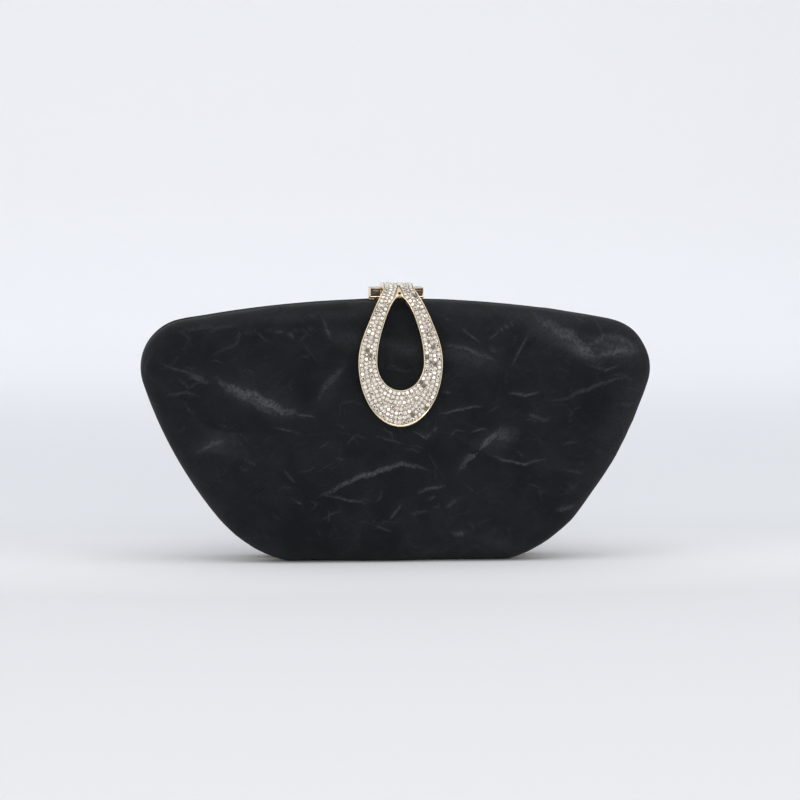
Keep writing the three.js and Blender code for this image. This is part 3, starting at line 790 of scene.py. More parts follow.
def inlay_reflection_finish():
    """Dark bronze colour in the ends of the clasp block, a painted reflection of the dark in front of their
    polished faces.
    """
    f = Finish("inlay_painted_reflection", (0.06, 0.045, 0.03), 0.18, 0.4, Coat_Weight=0.5, Coat_Roughness=0.06)
    cloud = f.noise(1.5 * MM, 3.0, 0.8)
    f.color(f.mix(f.ramp(cloud, 0.35, 0.7), (0.035, 0.026, 0.018), (0.11, 0.083, 0.055)))
    f.bump(cloud, 0.03 * MM, 0.4)
    return f.material


def stone_finish():
    """Foil-backed cut stones: each cut face's painted tone, a painted reflection, stands for its own share
    of the light.
    """
    f = Finish("cut_stone", (0.9, 0.89, 0.87), 0.09, 0.5, Coat_Weight=0.5, Coat_Roughness=0.03)
    shade = f.mix(f.attribute("tone"), (0.07, 0.055, 0.04), (1.0, 0.955, 0.89))
    cloud = f.noise(0.9 * MM, 2.0, 0.5)
    f.color(f.mix(f.ramp(cloud, 0.5, 0.7, 0.0, 0.35), shade, (0.96, 0.82, 0.66)))
    return f.material


def bed_finish():
    """The floor between the stones, coloured dark as painted shade."""
    f = Finish("shadowed_bed", (0.12, 0.09, 0.06), 0.4, 0.9)
    cloud = f.noise(0.8 * MM, 3.0)
    f.color(f.mix(cloud, (0.10, 0.078, 0.055), (0.56, 0.45, 0.32)))
    f.bump(cloud, 0.05 * MM, 0.4)
    return f.material


CLOTH_LOOK = cloth_finish()
SATIN_LOOK = satin_finish()
GOLD_LOOK = metal_finish("pale_gold", (0.98, 0.80, 0.56), 0.16)
BEZEL_LOOK = metal_finish("bright_gold", (1.0, 0.85, 0.62), 0.24)
TOP_SHADE_LOOK = metal_finish("gold_painted_shade", (0.20, 0.155, 0.10), 0.3)
GRAIN_LOOK = metal_finish("white_gold_grain", (0.80, 0.72, 0.60), 0.2)
HOLE_SHADE_LOOK = metal_finish("hole_painted_shade", (0.03, 0.022, 0.016), 0.5)
RIM_LOOK = metal_finish("satin_gold", (0.80, 0.66, 0.43), 0.27)
STEEL_LOOK = metal_finish("steel", (0.56, 0.56, 0.57), 0.28)
PLASTIC_LOOK = plastic_finish()
FOAM_LOOK = foam_finish()
INLAY_REFLECTION_LOOK = inlay_reflection_finish()
STONE_LOOK = stone_finish()
BED_LOOK = bed_finish()


def finish_piece(obj, look, body, slot, *replaced):
    """Gives a piece its look (one material, or two) and body, and hides the CAD nodes that it stands for;
    slot is not used.
    """
    for material in look if isinstance(look, tuple) else (look,):
        obj.data.materials.append(material)
    if body is not None:
        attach(obj, body)
    if replaced:
        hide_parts(*replaced)
    return obj


def solid_piece(name, parts, look, body, slot, *replaced, sharp=None):
    """A finished piece of one or more (vertices, faces) pairs."""
    return finish_piece(join_meshes(name, parts, sharp=sharp), look, body, slot, *replaced)


# ---------- covers, padding, trays, linings ----------

def plain_layer(name, side, outer_inset, inner_inset):
    """A smooth closed layer between two insets from the cloth's outside."""
    skins = [half_skin(inset, 200, 3, 8, 12)[0] for inset in (outer_inset, inner_inset)]
    return layer_object(name, side, *skins)


def satin_layer(name, side, seed):
    """The satin inside a tray, slightly crumpled on its inner side."""
    outer, _ = half_skin(LINING_INSET, 320, 5, 9, 36)
    inner, directions = half_skin(LINING_INSET + SATIN, 320, 5, 9, 36)
    flat, outwards = inner.reshape(-1, 3), directions.reshape(-1, 3)
    near, border = crumple(placed(inner, side), 60, seed)
    soft = 0.018 * (near - near.mean()) + 0.18 * MM * np.exp(-border / (3 * MM))
    deep = np.clip((flat[:, 1] - LAYER_EDGE) / (4 * MM), 0, 1)
    flat = flat - outwards * np.clip(soft, 0, None)[:, None] * deep[:, None]
    return layer_object(name, side, outer, flat.reshape(inner.shape))


def soft_layers(name, side, body, folds, light_patches, seed):
    """One half's cloth, foam, tray and satin, from the outside in."""
    cover = cloth_cover(f"{name}_cloth", side, folds, light_patches, seed)
    finish_piece(cover, CLOTH_LOOK, body, "cloth", f"{name}_cover")
    padding = plain_layer(f"{name}_foam", side, PADDING_INSET + LAYER_GAP, TRAY_INSET - LAYER_GAP)
    finish_piece(padding, FOAM_LOOK, body, "foam", f"{name}_padding")
    tray = plain_layer(f"{name}_shell", side, TRAY_INSET, LINING_INSET - LAYER_GAP)
    finish_piece(tray, PLASTIC_LOOK, body, "tray", f"{name}_tray")
    lining = satin_layer(f"{name}_satin", side, seed + 5)
    finish_piece(lining, SATIN_LOOK, body, "satin", f"{name}_lining")


def mirrored(folds, share):
    """Folds turned round for the back: every other one, and a little weaker."""
    return [
        ([(-x, z) for x, z in reversed(route)], width, share * strength)
        for route, width, strength in folds[::2]
    ]


soft_layers("front", -1, FRONT, FRONT_FOLDS + random_folds(120, 3), FRONT_LIGHT_PATCHES, 11)
soft_layers("back", 1, BACK, mirrored(FRONT_FOLDS, 0.8) + random_folds(150, 8), FRONT_LIGHT_PATCHES[3:8], 23)


# ---------- rims ----------

def rim_frame(name, side, body):
    """The metal ring round a half's mouth: an outer wall and a web, rounded at its edges."""
    around = 640
    wall, web, soft = 1.2 * MM, 0.8 * MM, 0.18 * MM
    outside, inside, web_end = RIM_INSET, RIM_INSET + wall, 5.5 * MM
    near, far = RIM_MOUTH, RIM_BACK
    section = [
        (outside, far), (outside, near + soft), (outside + 0.3 * soft, near + 0.3 * soft),
        (outside + soft, near), (inside - soft, near), (inside - 0.3 * soft, near + 0.3 * soft),
        (inside, near + soft), (inside, far - web), (web_end - soft, far - web),
        (web_end, far - web + soft), (web_end, far),
    ]
    hinge_room, hinge_mouth = 0.6 * MM, 1.75 * MM    # the wall is cut back at the hinges
    vertices = []
    for point, normal in zip(*outline(around)):
        at_hinge = point[1] < RIM_INSET and abs(abs(point[0]) - HINGE_X) < HINGE_HALF + hinge_room
        mouth = hinge_mouth if at_hinge else 0.0
        for inset, depth in section:
            place = point - normal * inset
            vertices.append((place[0], PARTING + side * max(depth, mouth), place[1]))
    faces = grid_faces(around, len(section), looped=True)
    obj = mesh_object(f"{name}_frame", vertices, faces, sharp=50)
    finish_piece(obj, RIM_LOOK, body, "rim", f"{name}_rim")


rim_frame("front", -1, FRONT)
rim_frame("back", 1, BACK)


# ---------- hinges ----------

def rivet(node, body, bottom, top, head):
    """A rivet along Z with a domed head at each end, in place of a CAD rivet."""
    shank, dome = 0.45 * MM, 0.3 * MM
    low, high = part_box(node)
    middle = (low + high) / 2
    profile = [
        (0.25 * head, bottom - dome), (0.7 * head, bottom - 0.8 * dome), (head, bottom - 0.3 * dome),
        (head, bottom), (shank, bottom), (shank, top), (head, top), (head, top + 0.3 * dome),
        (0.7 * head, top + 0.8 * dome), (0.25 * head, top + dome),
    ]
    part = turned_part(profile, (middle.x, middle.y, 0), (0, 0, 1), 20)
    solid_piece(f"{node}_piece", [part], GOLD_LOOK, body, "gold", node, sharp=50)


def hinge_leaf(hand, sign, name, side, body):
    """One leaf of a hinge, with every other knuckle, and its two rivets."""
    node = f"{hand}_hinge_{name}_leaf"
    low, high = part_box(node)
    bottom, top = 0.5 * MM, 1.3 * MM
    inner = 1.6 * MM
    outer = abs((low.y if side < 0 else high.y) - PARTING)

    def plate(x_low, x_high, near, far):
        y_low, y_high = sorted((PARTING + side * near, PARTING + side * far))
        return box_part((x_low, y_low, bottom), (x_high, y_high, top))

    middle = sign * HINGE_X
    parts = [plate(middle - HINGE_HALF, middle + HINGE_HALF, inner, outer)]
    knuckles, gap, soft = 5, 0.15 * MM, 0.12 * MM
    radius = HINGE_Z - low.z
    pitch = 2 * HINGE_HALF / knuckles
    length = pitch - 2 * gap
    for i in range(1 if side < 0 else 0, knuckles, 2):
        start = middle - HINGE_HALF + i * pitch + gap
        parts.append(rod_part([(radius - soft, 0), (radius, soft)], length, (start, PARTING, HINGE_Z), 36))
        parts.append(plate(start, start + length, 0.5 * MM, inner + 0.3 * MM))
    solid_piece(f"{node}_piece", parts, GOLD_LOOK, body, "gold", node, sharp=35)
    for number in (1, 2):
        rivet_node = f"{hand}_hinge_{name}_rivet_{number}"
        rivet_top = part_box(rivet_node)[1].z - 0.3 * MM
        rivet(rivet_node, body, bottom - 0.05 * MM, rivet_top, 0.75 * MM)


def hinge_pin(hand):
    """A hinge's pin, with rounded ends."""
    node = f"{hand}_hinge_pin"
    low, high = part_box(node)
    radius = (high.z - low.z) / 2
    end = [(0.3 * radius, 0), (0.8 * radius, 0.1 * MM), (radius, 0.3 * MM)]
    pin = rod_part(end, high.x - low.x, (low.x, PARTING, HINGE_Z), 24)
    solid_piece(f"{node}_piece", [pin], STEEL_LOOK, BACK, "steel", node)


for hand, sign in (("left", -1), ("right", 1)):
    hinge_leaf(hand, sign, "front", -1, FRONT)
    hinge_leaf(hand, sign, "back", 1, BACK)
    hinge_pin(hand)


# ---------- gussets ----------

def gusset(hand, sign):
    """Satin between the two rims at one side, folded inwards, deeper towards the top."""
    node = f"{hand}_gusset"
    rows, columns = 70, 25
    inset, top_z = 5.9 * MM, 84 * MM
    mouth = RIM_BACK - 0.4 * MM
    points, normals = outline(640)
    wall = points - normals * inset
    wall = wall[(wall[:, 0] > 50 * MM) & (wall[:, 1] < top_z) & (normals[:, 0] > 0.05)]
    wall = wall[np.argsort(wall[:, 1])]
    vertices = []
    for layer in (0, 1):
        for i in range(rows):
            along = i / (rows - 1)
            index = along * (len(wall) - 1)
            at = int(index)
            following = min(at + 1, len(wall) - 1)
            place = wall[at] * (1 - index + at) + wall[following] * (index - at)
            depth = (2 + 16 * along) * MM
            for j in range(columns):
                fold = j / (columns - 1)
                inward = (1 - abs(2 * fold - 1)) ** 0.9
                ripple = GUSSET_CLOTH * along * math.sin(5 * math.pi * along + 6 * fold) * inward
                x = place[0] - depth * inward - GUSSET_CLOTH * layer + ripple
                y = mouth * (2 * fold - 1) * (1 - 0.6 * inward)
                vertices.append((sign * x, PARTING + y, place[1] + 0.3 * depth * inward))
    obj = mesh_object(f"{hand}_side_gusset", vertices, sheet_faces(rows, columns))
    finish_piece(obj, SATIN_LOOK, None, "satin", node)
    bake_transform(obj)


gusset("left", -1)
gusset("right", 1)


# ---------- clasp: teardrop lever ----------

LEVER_LOW, LEVER_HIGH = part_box("clasp_lever")
TIP_Z = LEVER_LOW.z
UNDERSIDE = HALF_DEPTH + 1 * MM            # parting plane to the lever's underside
BEND_Z = 101.5 * MM                        # where the lever starts to bend over the top edge
LEVER_THICKNESS = 1.9 * MM
NECK_Z = LEVER_HIGH.z - LEVER_THICKNESS    # underside of the neck
BEND_Y = HALF_DEPTH - EDGE_ROUND_OUT       # middle of the bend, forward of the parting plane
BEND_OUT = UNDERSIDE - BEND_Y
BEND_UP = NECK_Z - BEND_Z
BEND_START = BEND_Z - TIP_Z
BEND_LENGTH = math.pi / 2 * (BEND_OUT + BEND_UP) / 2
BEND_END = BEND_START + BEND_LENGTH
NECK_HALF = 6.5 * MM
PIVOT_Y = box_middle("clasp_pin", "y") - PARTING
PIVOT_Z = box_middle("clasp_pin", "z")
NECK_END = BEND_END + PIVOT_Y + BEND_Y
TEAR_MIDDLE = 27.3 * MM                    # from the tip to where the teardrop is widest
OUTER_EDGE = {
    "half": 17.9 * MM, "neck_half": NECK_HALF, "neck_at": 60 * MM, "side_pull": 13.5 * MM,
    "neck_pull": (6.9 * MM, 6 * MM), "tip": 0.0,
}
INNER_EDGE = {
    "half": 9.9 * MM, "neck_half": 0.0, "neck_at": 54.7 * MM, "side_pull": 14.2 * MM,
    "neck_pull": (2.7 * MM, 0.5 * MM), "tip": 15.45 * MM,
}
WEB_FOOT = INNER_EDGE["neck_at"]           # the plain web between the arms: a triangle
WEB_HALF, WEB_TOP = 1.8 * MM, 61.6 * MM
BEAD_ALONG = 55.7 * MM
BED = LEVER_THICKNESS                      # underside to the bed that the stones sit in
DOME = 0.35 * MM                           # how far the bed is crowned across
STONE_SEAT = BED + 0.6 * DOME
BEZEL = 0.5 * MM                           # width of the polished border, and its height over the bed
TIP_WIDER, TIP_SPAN = 0.45 * MM, 12 * MM   # the outer border widens this much over this length
STONE = 1.8 * MM                           # diameter of the stones in the rows
SMALL_STONES = (1.5 * MM, 1.25 * MM, 1.0 * MM)
PITCH = 1.86 * MM


def lever_point(across, along, out):
    """A point of the lever: across it, along it from its tip, and out from its underside."""
    if along <= BEND_START:
        return Vector((across, PARTING - UNDERSIDE - out, TIP_Z + along))
    if along >= BEND_END:
        return Vector((across, PARTING - BEND_Y + along - BEND_START - BEND_LENGTH, NECK_Z + out))
    angle = math.pi / 2 * (along - BEND_START) / BEND_LENGTH
    return Vector((
        across,
        PARTING - BEND_Y - (BEND_OUT + out) * math.cos(angle),
        BEND_Z + (BEND_UP + out) * math.sin(angle),
    ))


def lever_normal(along):
    """The direction out of the lever's face."""
    part = min(max((along - BEND_START) / BEND_LENGTH, 0), 1)
    return Vector((0, -math.cos(math.pi / 2 * part), math.sin(math.pi / 2 * part)))


def tear_edge(part, half, neck_half, neck_at, side_pull, neck_pull, tip):
    """A point of one edge of the teardrop, from its neck (0) to its tip (1), as (across, along).

    The tip's half is an ellipse. The neck's half is a smooth curve that the two pulls shape.
    """
    if part > 0.5:
        angle = math.pi * (part - 0.5)
        return np.array([half * math.cos(angle), TEAR_MIDDLE - (TEAR_MIDDLE - tip) * math.sin(angle)])
    t = 2 * part
    corners = np.array([
        (neck_half, neck_at), (neck_pull[0], neck_at - neck_pull[1]),
        (half, TEAR_MIDDLE + side_pull), (half, TEAR_MIDDLE),
    ])
    weights = np.array([(1 - t) ** 3, 3 * (1 - t) ** 2 * t, 3 * (1 - t) * t ** 2, t ** 3])
    return weights @ corners


def tip_widening(along):
    """How much wider the outer border is towards the tip than elsewhere."""
    return TIP_WIDER * np.clip(1 - along / TIP_SPAN, 0, 1)


def half_section(bezel_rise):
    """The lever's section as (side, offset, height): side 0 measures from the inner edge, 1 the outer."""
    edge = 0.25 * MM
    top = BED + bezel_rise
    soft = BEZEL / 2
    inner = [
        (0, 0.0, edge), (0, 0.0, top - soft), (0, 0.3 * soft, top - 0.3 * soft), (0, soft, top),
        (0, BEZEL - 0.3 * soft, top - 0.3 * soft), (0, BEZEL, top - soft), (0, BEZEL + 0.04 * MM, BED),
    ]
    bed = [("bed", part, BED) for part in (0.2, 0.4, 0.6, 0.8)]
    outer = [(1, offset, height) for _, offset, height in reversed(inner)]
    return inner, bed, outer, [(1, edge, 0.0), (0, edge, 0.0)]


def section_points(inner_point, outer_point, inner_rise=BEZEL):
    """The section's points at one station, inner wall first, as (across, along, out) rows."""
    _, bed, outer, under = half_section(BEZEL)
    inner = half_section(inner_rise)[0]
    width = np.linalg.norm(outer_point - inner_point)
    direction = (outer_point - inner_point) / width
    extra = tip_widening(outer_point[1])
    rows = []
    for side, offset, height in inner + bed + outer + under:
        if side == "bed":
            reach = BEZEL + (width - 2 * BEZEL - extra) * offset
        elif side == 0:
            reach = offset
        else:
            reach = width - offset * (1 + extra / BEZEL)
        place = inner_point + direction * reach
        crown = DOME * (1 - (2 * reach / width - 1) ** 2) if height >= BED else 0.0
        rows.append((place[0], place[1], height + crown))
    return rows


def teardrop_lever():
    """The teardrop loop and its neck, with a second material on their bed."""
    stations, neck_rows = 150, 26
    vertices = []
    for i in range(stations + 1):
        sign = 1 if i / stations < 0.5 else -1
        part = 1 - abs(2 * (i / stations) - 1)
        rows = section_points(tear_edge(part, **INNER_EDGE), tear_edge(part, **OUTER_EDGE))
        vertices += [lever_point(sign * across, along, out) for across, along, out in rows]
    inner, bed, outer, under = half_section(BEZEL)
    count = len(inner) + len(bed) + len(outer) + len(under)
    faces = grid_faces(stations + 1, count)
    bed_columns = range(len(inner) - 1, len(inner) + len(bed))
    second = [row * count + column for row in range(stations) for column in bed_columns]

    first, loop_faces = len(vertices), len(faces)
    inner_start, outer_start = INNER_EDGE["neck_at"], OUTER_EDGE["neck_at"]
    inner_fade = 2.2 * MM                  # the inner border sinks into the neck over this length
    for i in range(neck_rows + 1):
        part = i / neck_rows
        inner_point = np.array([0.0, inner_start + (NECK_END - inner_start) * part])
        outer_point = np.array([NECK_HALF, outer_start + (NECK_END - outer_start) * part])
        fade = max(0.0, 1 - part * (NECK_END - inner_start) / inner_fade)
        rows = section_points(inner_point, outer_point, BEZEL * fade)
        right = rows[1:] + [(0.0, rows[-1][1], 0.0)]
        left = [(-across, along, out) for across, along, out in reversed(right[1:-1])]
        vertices += [lever_point(*row) for row in right + left]
    ring = len(right) + len(left)
    faces += grid_faces(neck_rows + 1, ring, first=first)
    faces.append(tuple(first + neck_rows * ring + i for i in range(ring)))
    right_bed = len(inner) + len(bed) - 1
    neck_columns = list(range(right_bed)) + list(range(ring - right_bed - 1, ring))
    second += [loop_faces + row * ring + column for row in range(neck_rows) for column in neck_columns]
    lever = mesh_object("teardrop_casting", vertices, faces, sharp=32, second=second)
    finish_piece(lever, (BEZEL_LOOK, BED_LOOK), LEVER, "gold", "clasp_lever")


teardrop_lever()


# ---------- clasp: stones ----------

def dense_edge(edge):
    """Points of the right side of one edge of the teardrop, from its neck to its tip."""
    count = 240
    return np.array([tear_edge(i / count, **edge) for i in range(count + 1)])


OUTER_SIDE = dense_edge(OUTER_EDGE)
INNER_SIDE = dense_edge(INNER_EDGE)


def loop_line(side):
    """Both sides of an edge as one line, from the right of the neck round to its left."""
    return np.concatenate([side, side[-2::-1] * (-1, 1)])


def neck_line():
    """The outer edge, less the tip's wider border, with the neck's two sides added to its ends."""
    along = np.linspace(NECK_END, OUTER_EDGE["neck_at"], 60)[:-1]
    right = np.column_stack([np.full(len(along), NECK_HALF), along])
    tip = OUTER_SIDE + np.outer(tip_widening(OUTER_SIDE[:, 1]), (0, 1))
    return np.concatenate([right, loop_line(tip), right[::-1] * (-1, 1)])


def offset_row(line, distance):
    """A line moved sideways by distance, to the left of its direction."""
    step = np.gradient(line, axis=0)
    step /= np.linalg.norm(step, axis=1)[:, None]
    return line + distance * np.column_stack([-step[:, 1], step[:, 0]])


def spaced(line, pitch, phase):
    """Points along a line, pitch apart."""
    lengths = np.concatenate([[0], np.cumsum(np.linalg.norm(np.diff(line, axis=0), axis=1))])
    wanted = np.arange(phase, lengths[-1], pitch)
    return np.column_stack([np.interp(wanted, lengths, line[:, k]) for k in range(2)])


def distances(places, line):
    """Each place's distance to the nearest point of a line."""
    return np.linalg.norm(places[:, None, :] - line[None], axis=2).min(axis=1)


def thinned(candidates, apart, chosen):
    """Adds to the chosen places, one by one, each candidate that is far enough from them all."""
    for place in candidates:
        if not len(chosen) or distances(place[None], chosen)[0] > apart:
            chosen = np.vstack([chosen, place])
    return chosen


def room_in_bed(places):
    """How far inside the bed's edges, and clear of the web, each place is; less than 0 outside."""
    neck_clear, web_overlap = 1.3 * MM, 0.12 * MM
    across, along = np.abs(places[:, 0]), places[:, 1]
    outer_half = np.interp(along, OUTER_SIDE[::-1, 1], OUTER_SIDE[::-1, 0], right=NECK_HALF)
    hole_half = np.interp(along, INNER_SIDE[::-1, 1], INNER_SIDE[::-1, 0], left=-1, right=-1)
    inside = (across < outer_half) & (across > hole_half) & (along > 0) & (along < NECK_END - neck_clear)
    room = np.full(len(places), -1.0)
    found = places[inside]
    room[inside] = np.minimum(distances(found, neck_line()), distances(found, loop_line(INNER_SIDE)))
    slope = np.array([-WEB_HALF, WEB_TOP - WEB_FOOT])
    slope /= np.linalg.norm(slope)
    beside = (across - WEB_HALF) * slope[1] - (along - WEB_FOOT) * slope[0]
    web_room = np.maximum(np.maximum(beside, along - WEB_TOP), WEB_FOOT - along)
    return np.minimum(room, web_room + BEZEL - web_overlap)


def clearance(points, places):
    """How far each point is from the edge of the nearest stone."""
    clear = np.full(len(points), np.inf)
    for across, along, size in places:
        clear = np.minimum(clear, np.linalg.norm(points - (across, along), axis=1) - size / 2)
    return clear


def bed_grid(step):
    """A fine grid of places over the bed, and each one's room."""
    across, along = np.meshgrid(np.arange(-18 * MM, 18 * MM, step), np.arange(0.5 * MM, NECK_END, step))
    grid = np.column_stack([across.ravel(), along.ravel()])
    room = room_in_bed(grid)
    return grid[room > 0], room[room > 0]


def stone_rows():
    """Stones of full size in rows that follow the bed's outer and inner edges in turn."""
    first_row = BEZEL + STONE / 2 + 0.02 * MM
    chosen = np.empty((0, 2))
    for row in range(6):
        reach = first_row + row * PITCH
        for line, distance in ((neck_line(), -reach), (loop_line(INNER_SIDE), reach)):
            places = spaced(offset_row(line, distance), PITCH, 0.3 * PITCH * row)
            places = places[room_in_bed(places) > first_row - 0.06 * MM]
            chosen = thinned(places, 0.93 * PITCH, chosen)
    return np.column_stack([chosen, np.full(len(chosen), STONE)])


def fill_gaps(places):
    """Adds smaller stones where the rows leave room for them."""
    grid, room = bed_grid(0.15 * MM)
    clear = clearance(grid, places)
    for size in SMALL_STONES:
        fits = (clear > 0.47 * size) & (room > BEZEL + 0.48 * size)
        while fits.any():
            place = grid[np.argmax(fits)]
            places = np.vstack([places, (*place, size)])
            clear = np.minimum(clear, np.linalg.norm(grid - place, axis=1) - size / 2)
            fits &= clear > 0.47 * size
    return places


def stone_part(centre, normal, spin, radius):
    """A round cut stone seen from above: an eight-sided table, kites and facets, and a thin girdle."""
    turn = normal.to_track_quat("Z", "Y").to_matrix() @ Matrix.Rotation(spin, 3, "Z")
    rings = ((0.50, 0.42, 0.0), (0.78, 0.30, 0.5), (1.0, 0.12, 0.0), (1.0, -0.1, 0.0))
    vertices = []
    for reach, height, shift in rings:
        for i in range(8):
            angle = 2 * math.pi * (i + shift) / 8
            local = Vector((reach * math.cos(angle), reach * math.sin(angle), height)) * radius
            vertices.append(centre + turn @ local)
    faces = [tuple(range(8)), tuple(range(31, 23, -1))]
    for i in range(8):
        after = (i + 1) % 8
        faces += [
            (i, 8 + i, after),
            (i, 16 + i, 8 + i),
            (after, 8 + i, 16 + after),
            (8 + i, 16 + i, 16 + after),
            (16 + i, 24 + i, 24 + after, 16 + after),
        ]
    return vertices, faces


def set_stones():
    """The stones, each with a lean, a turn and a painted brightness of its own, darker as painted shade for
    some in the middle of the arms, and facets of different tone as painted reflections.
    """
    facet_reflections = (1.0, 1.0, 1.0, 1.0, 0.85, 0.03)
    places = fill_gaps(stone_rows())
    parts, tones = [], []
    for (across, along, size), room in zip(places, room_in_bed(places[:, :2])):
        lean = Vector([random.gauss(0, 0.09) for _ in range(3)])
        normal = (lever_normal(along) + lean).normalized()
        spin = random.uniform(0, math.pi / 4)
        seat = lever_point(across, along, STONE_SEAT + 0.12 * MM)
        parts.append(stone_part(seat, normal, spin, size / 2))
        # Painted reflection and shade: a brightness for each stone, made much darker for some stones in the
        # middle of the arms (painted shade) and for a few elsewhere, times a tone for each face (painted
        # reflection).
        brightness = 0.85 + 0.15 * random.random()
        mid_arm_shade = 26 * MM < along < 42 * MM and room > 2.6 * MM
        if random.random() < (0.22 if mid_arm_shade else 0.015):
            brightness *= 0.12
        tones += [brightness * random.choice(facet_reflections) for _ in parts[-1][1]]
    stones = join_meshes("pave_stones", parts, smooth=False, weld=False)
    stones.data.attributes.new("tone", "FLOAT", "FACE").data.foreach_set("value", tones)
    finish_piece(stones, STONE_LOOK, LEVER, "stone", "pave_stone_bed")
    return places


def set_grains(places):
    """Small metal grains in the gaps between the stones, which hold them."""
    grain = 0.24 * MM
    grid, room = bed_grid(0.3 * MM)
    candidates = grid[(room > BEZEL + grain) & (clearance(grid, places) > 0.1 * MM)]
    chosen = thinned(candidates, 0.6 * MM, np.empty((0, 2)))
    profile = [(grain, -0.1 * MM), (grain, 0.14 * MM), (0.75 * grain, 0.32 * MM), (0.25 * grain, 0.4 * MM)]
    parts = [
        turned_part(profile, lever_point(across, along, STONE_SEAT), lever_normal(along), 7)
        for across, along in chosen
    ]
    solid_piece("stone_grains", parts, GRAIN_LOOK, LEVER, "gold")


set_grains(set_stones())


def web_plate():
    """The plain, puffed triangle between the arms, above the teardrop's inner corner."""
    rows, columns = 24, 17
    gap, sunk = 0.1 * MM, 0.2 * MM
    vertices = []
    for layer in (1, 0):
        for i in range(rows):
            up = i / (rows - 1)
            ends = min(1.0, 0.25 + 5 * up) * min(1.0, 3 * (1 - up) + 0.2)
            for j in range(columns):
                side = 2 * j / (columns - 1) - 1
                across = side * (WEB_HALF - gap) * (1 - 0.97 * up)
                arch = 0.35 * MM * side ** 2 * (1 - up)
                along = WEB_FOOT + gap - arch + (WEB_TOP - WEB_FOOT - gap) * up
                puff = 0.3 * MM * math.sqrt(1 - 0.96 * side ** 2) * ends
                vertices.append(lever_point(across, along, BED + gap + puff if layer else BED - sunk))
    web = mesh_object("web_plate", vertices, sheet_faces(rows, columns))
    finish_piece(web, GOLD_LOOK, LEVER, "gold")


def apex_bead():
    """The small domed bead on the web, turned forwards, with a drilled middle coloured dark as painted
    shade.
    """
    profile = [
        (0.98, -0.7), (0.98, 0.3), (0.93, 0.5), (0.84, 0.6), (0.74, 0.62), (0.66, 0.57), (0.62, 0.48),
        (0.6, 0.32), (0.05, 0.3),
    ]
    profile = [(radius * MM, height * MM) for radius, height in profile]
    sides = 28
    foot = lever_point(0, BEAD_ALONG, BED + 0.3 * MM)
    axis = lever_normal(BEAD_ALONG) + Vector((0, -0.8, 0))
    vertices, faces = turned_part(profile, foot, axis.normalized(), sides)
    # The hole's faces take the second material, painted shade.
    hole = list(range(6 * sides, 8 * sides)) + [len(faces) - 1]
    bead = mesh_object("apex_bead_piece", vertices, faces, sharp=60, second=hole)
    finish_piece(bead, (GOLD_LOOK, HOLE_SHADE_LOOK), LEVER, "gold", "apex_bead")


web_plate()
apex_bead()


# ---------- clasp: hub, hook, block, pin, spring, keeper ----------

PIVOT = Vector((0, PARTING + PIVOT_Y, PIVOT_Z))
BLOCK_FLOOR = 111.9 * MM
EAR_INNER = 6.8 * MM


def hub_and_hook():
    """The lever's round hub on its pin, and the hook that reaches behind the keeper's tooth."""
    low_x, high_x = -NECK_HALF, 2.1 * MM
    radius, soft = 2.2 * MM, 0.2 * MM
    hub = rod_part([(radius - soft, 0), (radius, soft)], high_x - low_x, (low_x, PIVOT.y, PIVOT.z), 40)
    solid_piece("lever_hub", [hub], GOLD_LOOK, LEVER, "gold", sharp=35)
    hook = join_meshes("lever_hook", [box_part(
        (-4.5 * MM, PARTING - 2.3 * MM, 112.1 * MM), (2 * MM, PARTING - 1.3 * MM, NECK_Z + 0.6 * MM),
    )])
    soften(hook, 0.2 * MM)
    finish_piece(hook, GOLD_LOOK, LEVER, "gold")


def framed_ear(x_pair, y_pair, z_pair, inlay):
    """A box whose front is a bevelled frame round the recess that holds its inlay."""
    front, rear = y_pair
    gap, slope, bevel, chin, recess_depth = 0.08 * MM, 0.2 * MM, 0.3 * MM, 0.45 * MM, 0.65 * MM
    low, high = inlay
    x0, x1, z0, z1 = low.x - gap, high.x + gap, low.z - gap, high.z + gap
    outside, in_by = (*x_pair, *z_pair), 0.5 * bevel
    face = (x_pair[0] + in_by, x_pair[1] - in_by, z_pair[0] + in_by + chin, z_pair[1] - in_by)
    return stepped_part([
        (*outside, rear), (*outside, front + bevel), (*face, front),
        (x0 - slope, x1 + slope, z0 - slope, z1 + slope, front),
        (x0, x1, z0, z1, front + slope), (x0, x1, z0, z1, front + recess_depth),
    ])


def clasp_block():
    """The block under the lever's neck: two ears with framed ends, a bar, and feet on the rim."""
    low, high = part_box("clasp_base")
    reach = EAR_INNER + 0.3 * MM
    foot_inset = 0.2 * MM
    parts = [box_part((-reach, low.y, BLOCK_FLOOR), (reach, low.y + 3 * MM, BLOCK_FLOOR + 1.5 * MM))]
    for hand, sign in (("left", -1), ("right", 1)):
        ear = sorted((sign * EAR_INNER, sign * high.x))
        foot = sorted((sign * (EAR_INNER + foot_inset), sign * (high.x - foot_inset)))
        parts.append(box_part(
            (foot[0], PARTING - 3.7 * MM, low.z), (foot[1], PARTING - 0.45 * MM, BLOCK_FLOOR + 0.4 * MM),
        ))
        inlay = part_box(f"clasp_inlay_{hand}")
        parts.append(framed_ear(ear, (low.y, high.y), (BLOCK_FLOOR, high.z), inlay))
    block = join_meshes("clasp_block", parts)
    soften(block, 0.16 * MM, 40)
    finish_piece(block, (GOLD_LOOK, TOP_SHADE_LOOK), FRONT, "gold", "clasp_base")
    # Painted shade: the block's top faces take a dark copy of the gold.
    for polygon in block.data.polygons:
        if polygon.normal.z > 0.9 and polygon.center.z > high.z - 0.1 * MM:
            polygon.material_index = 1


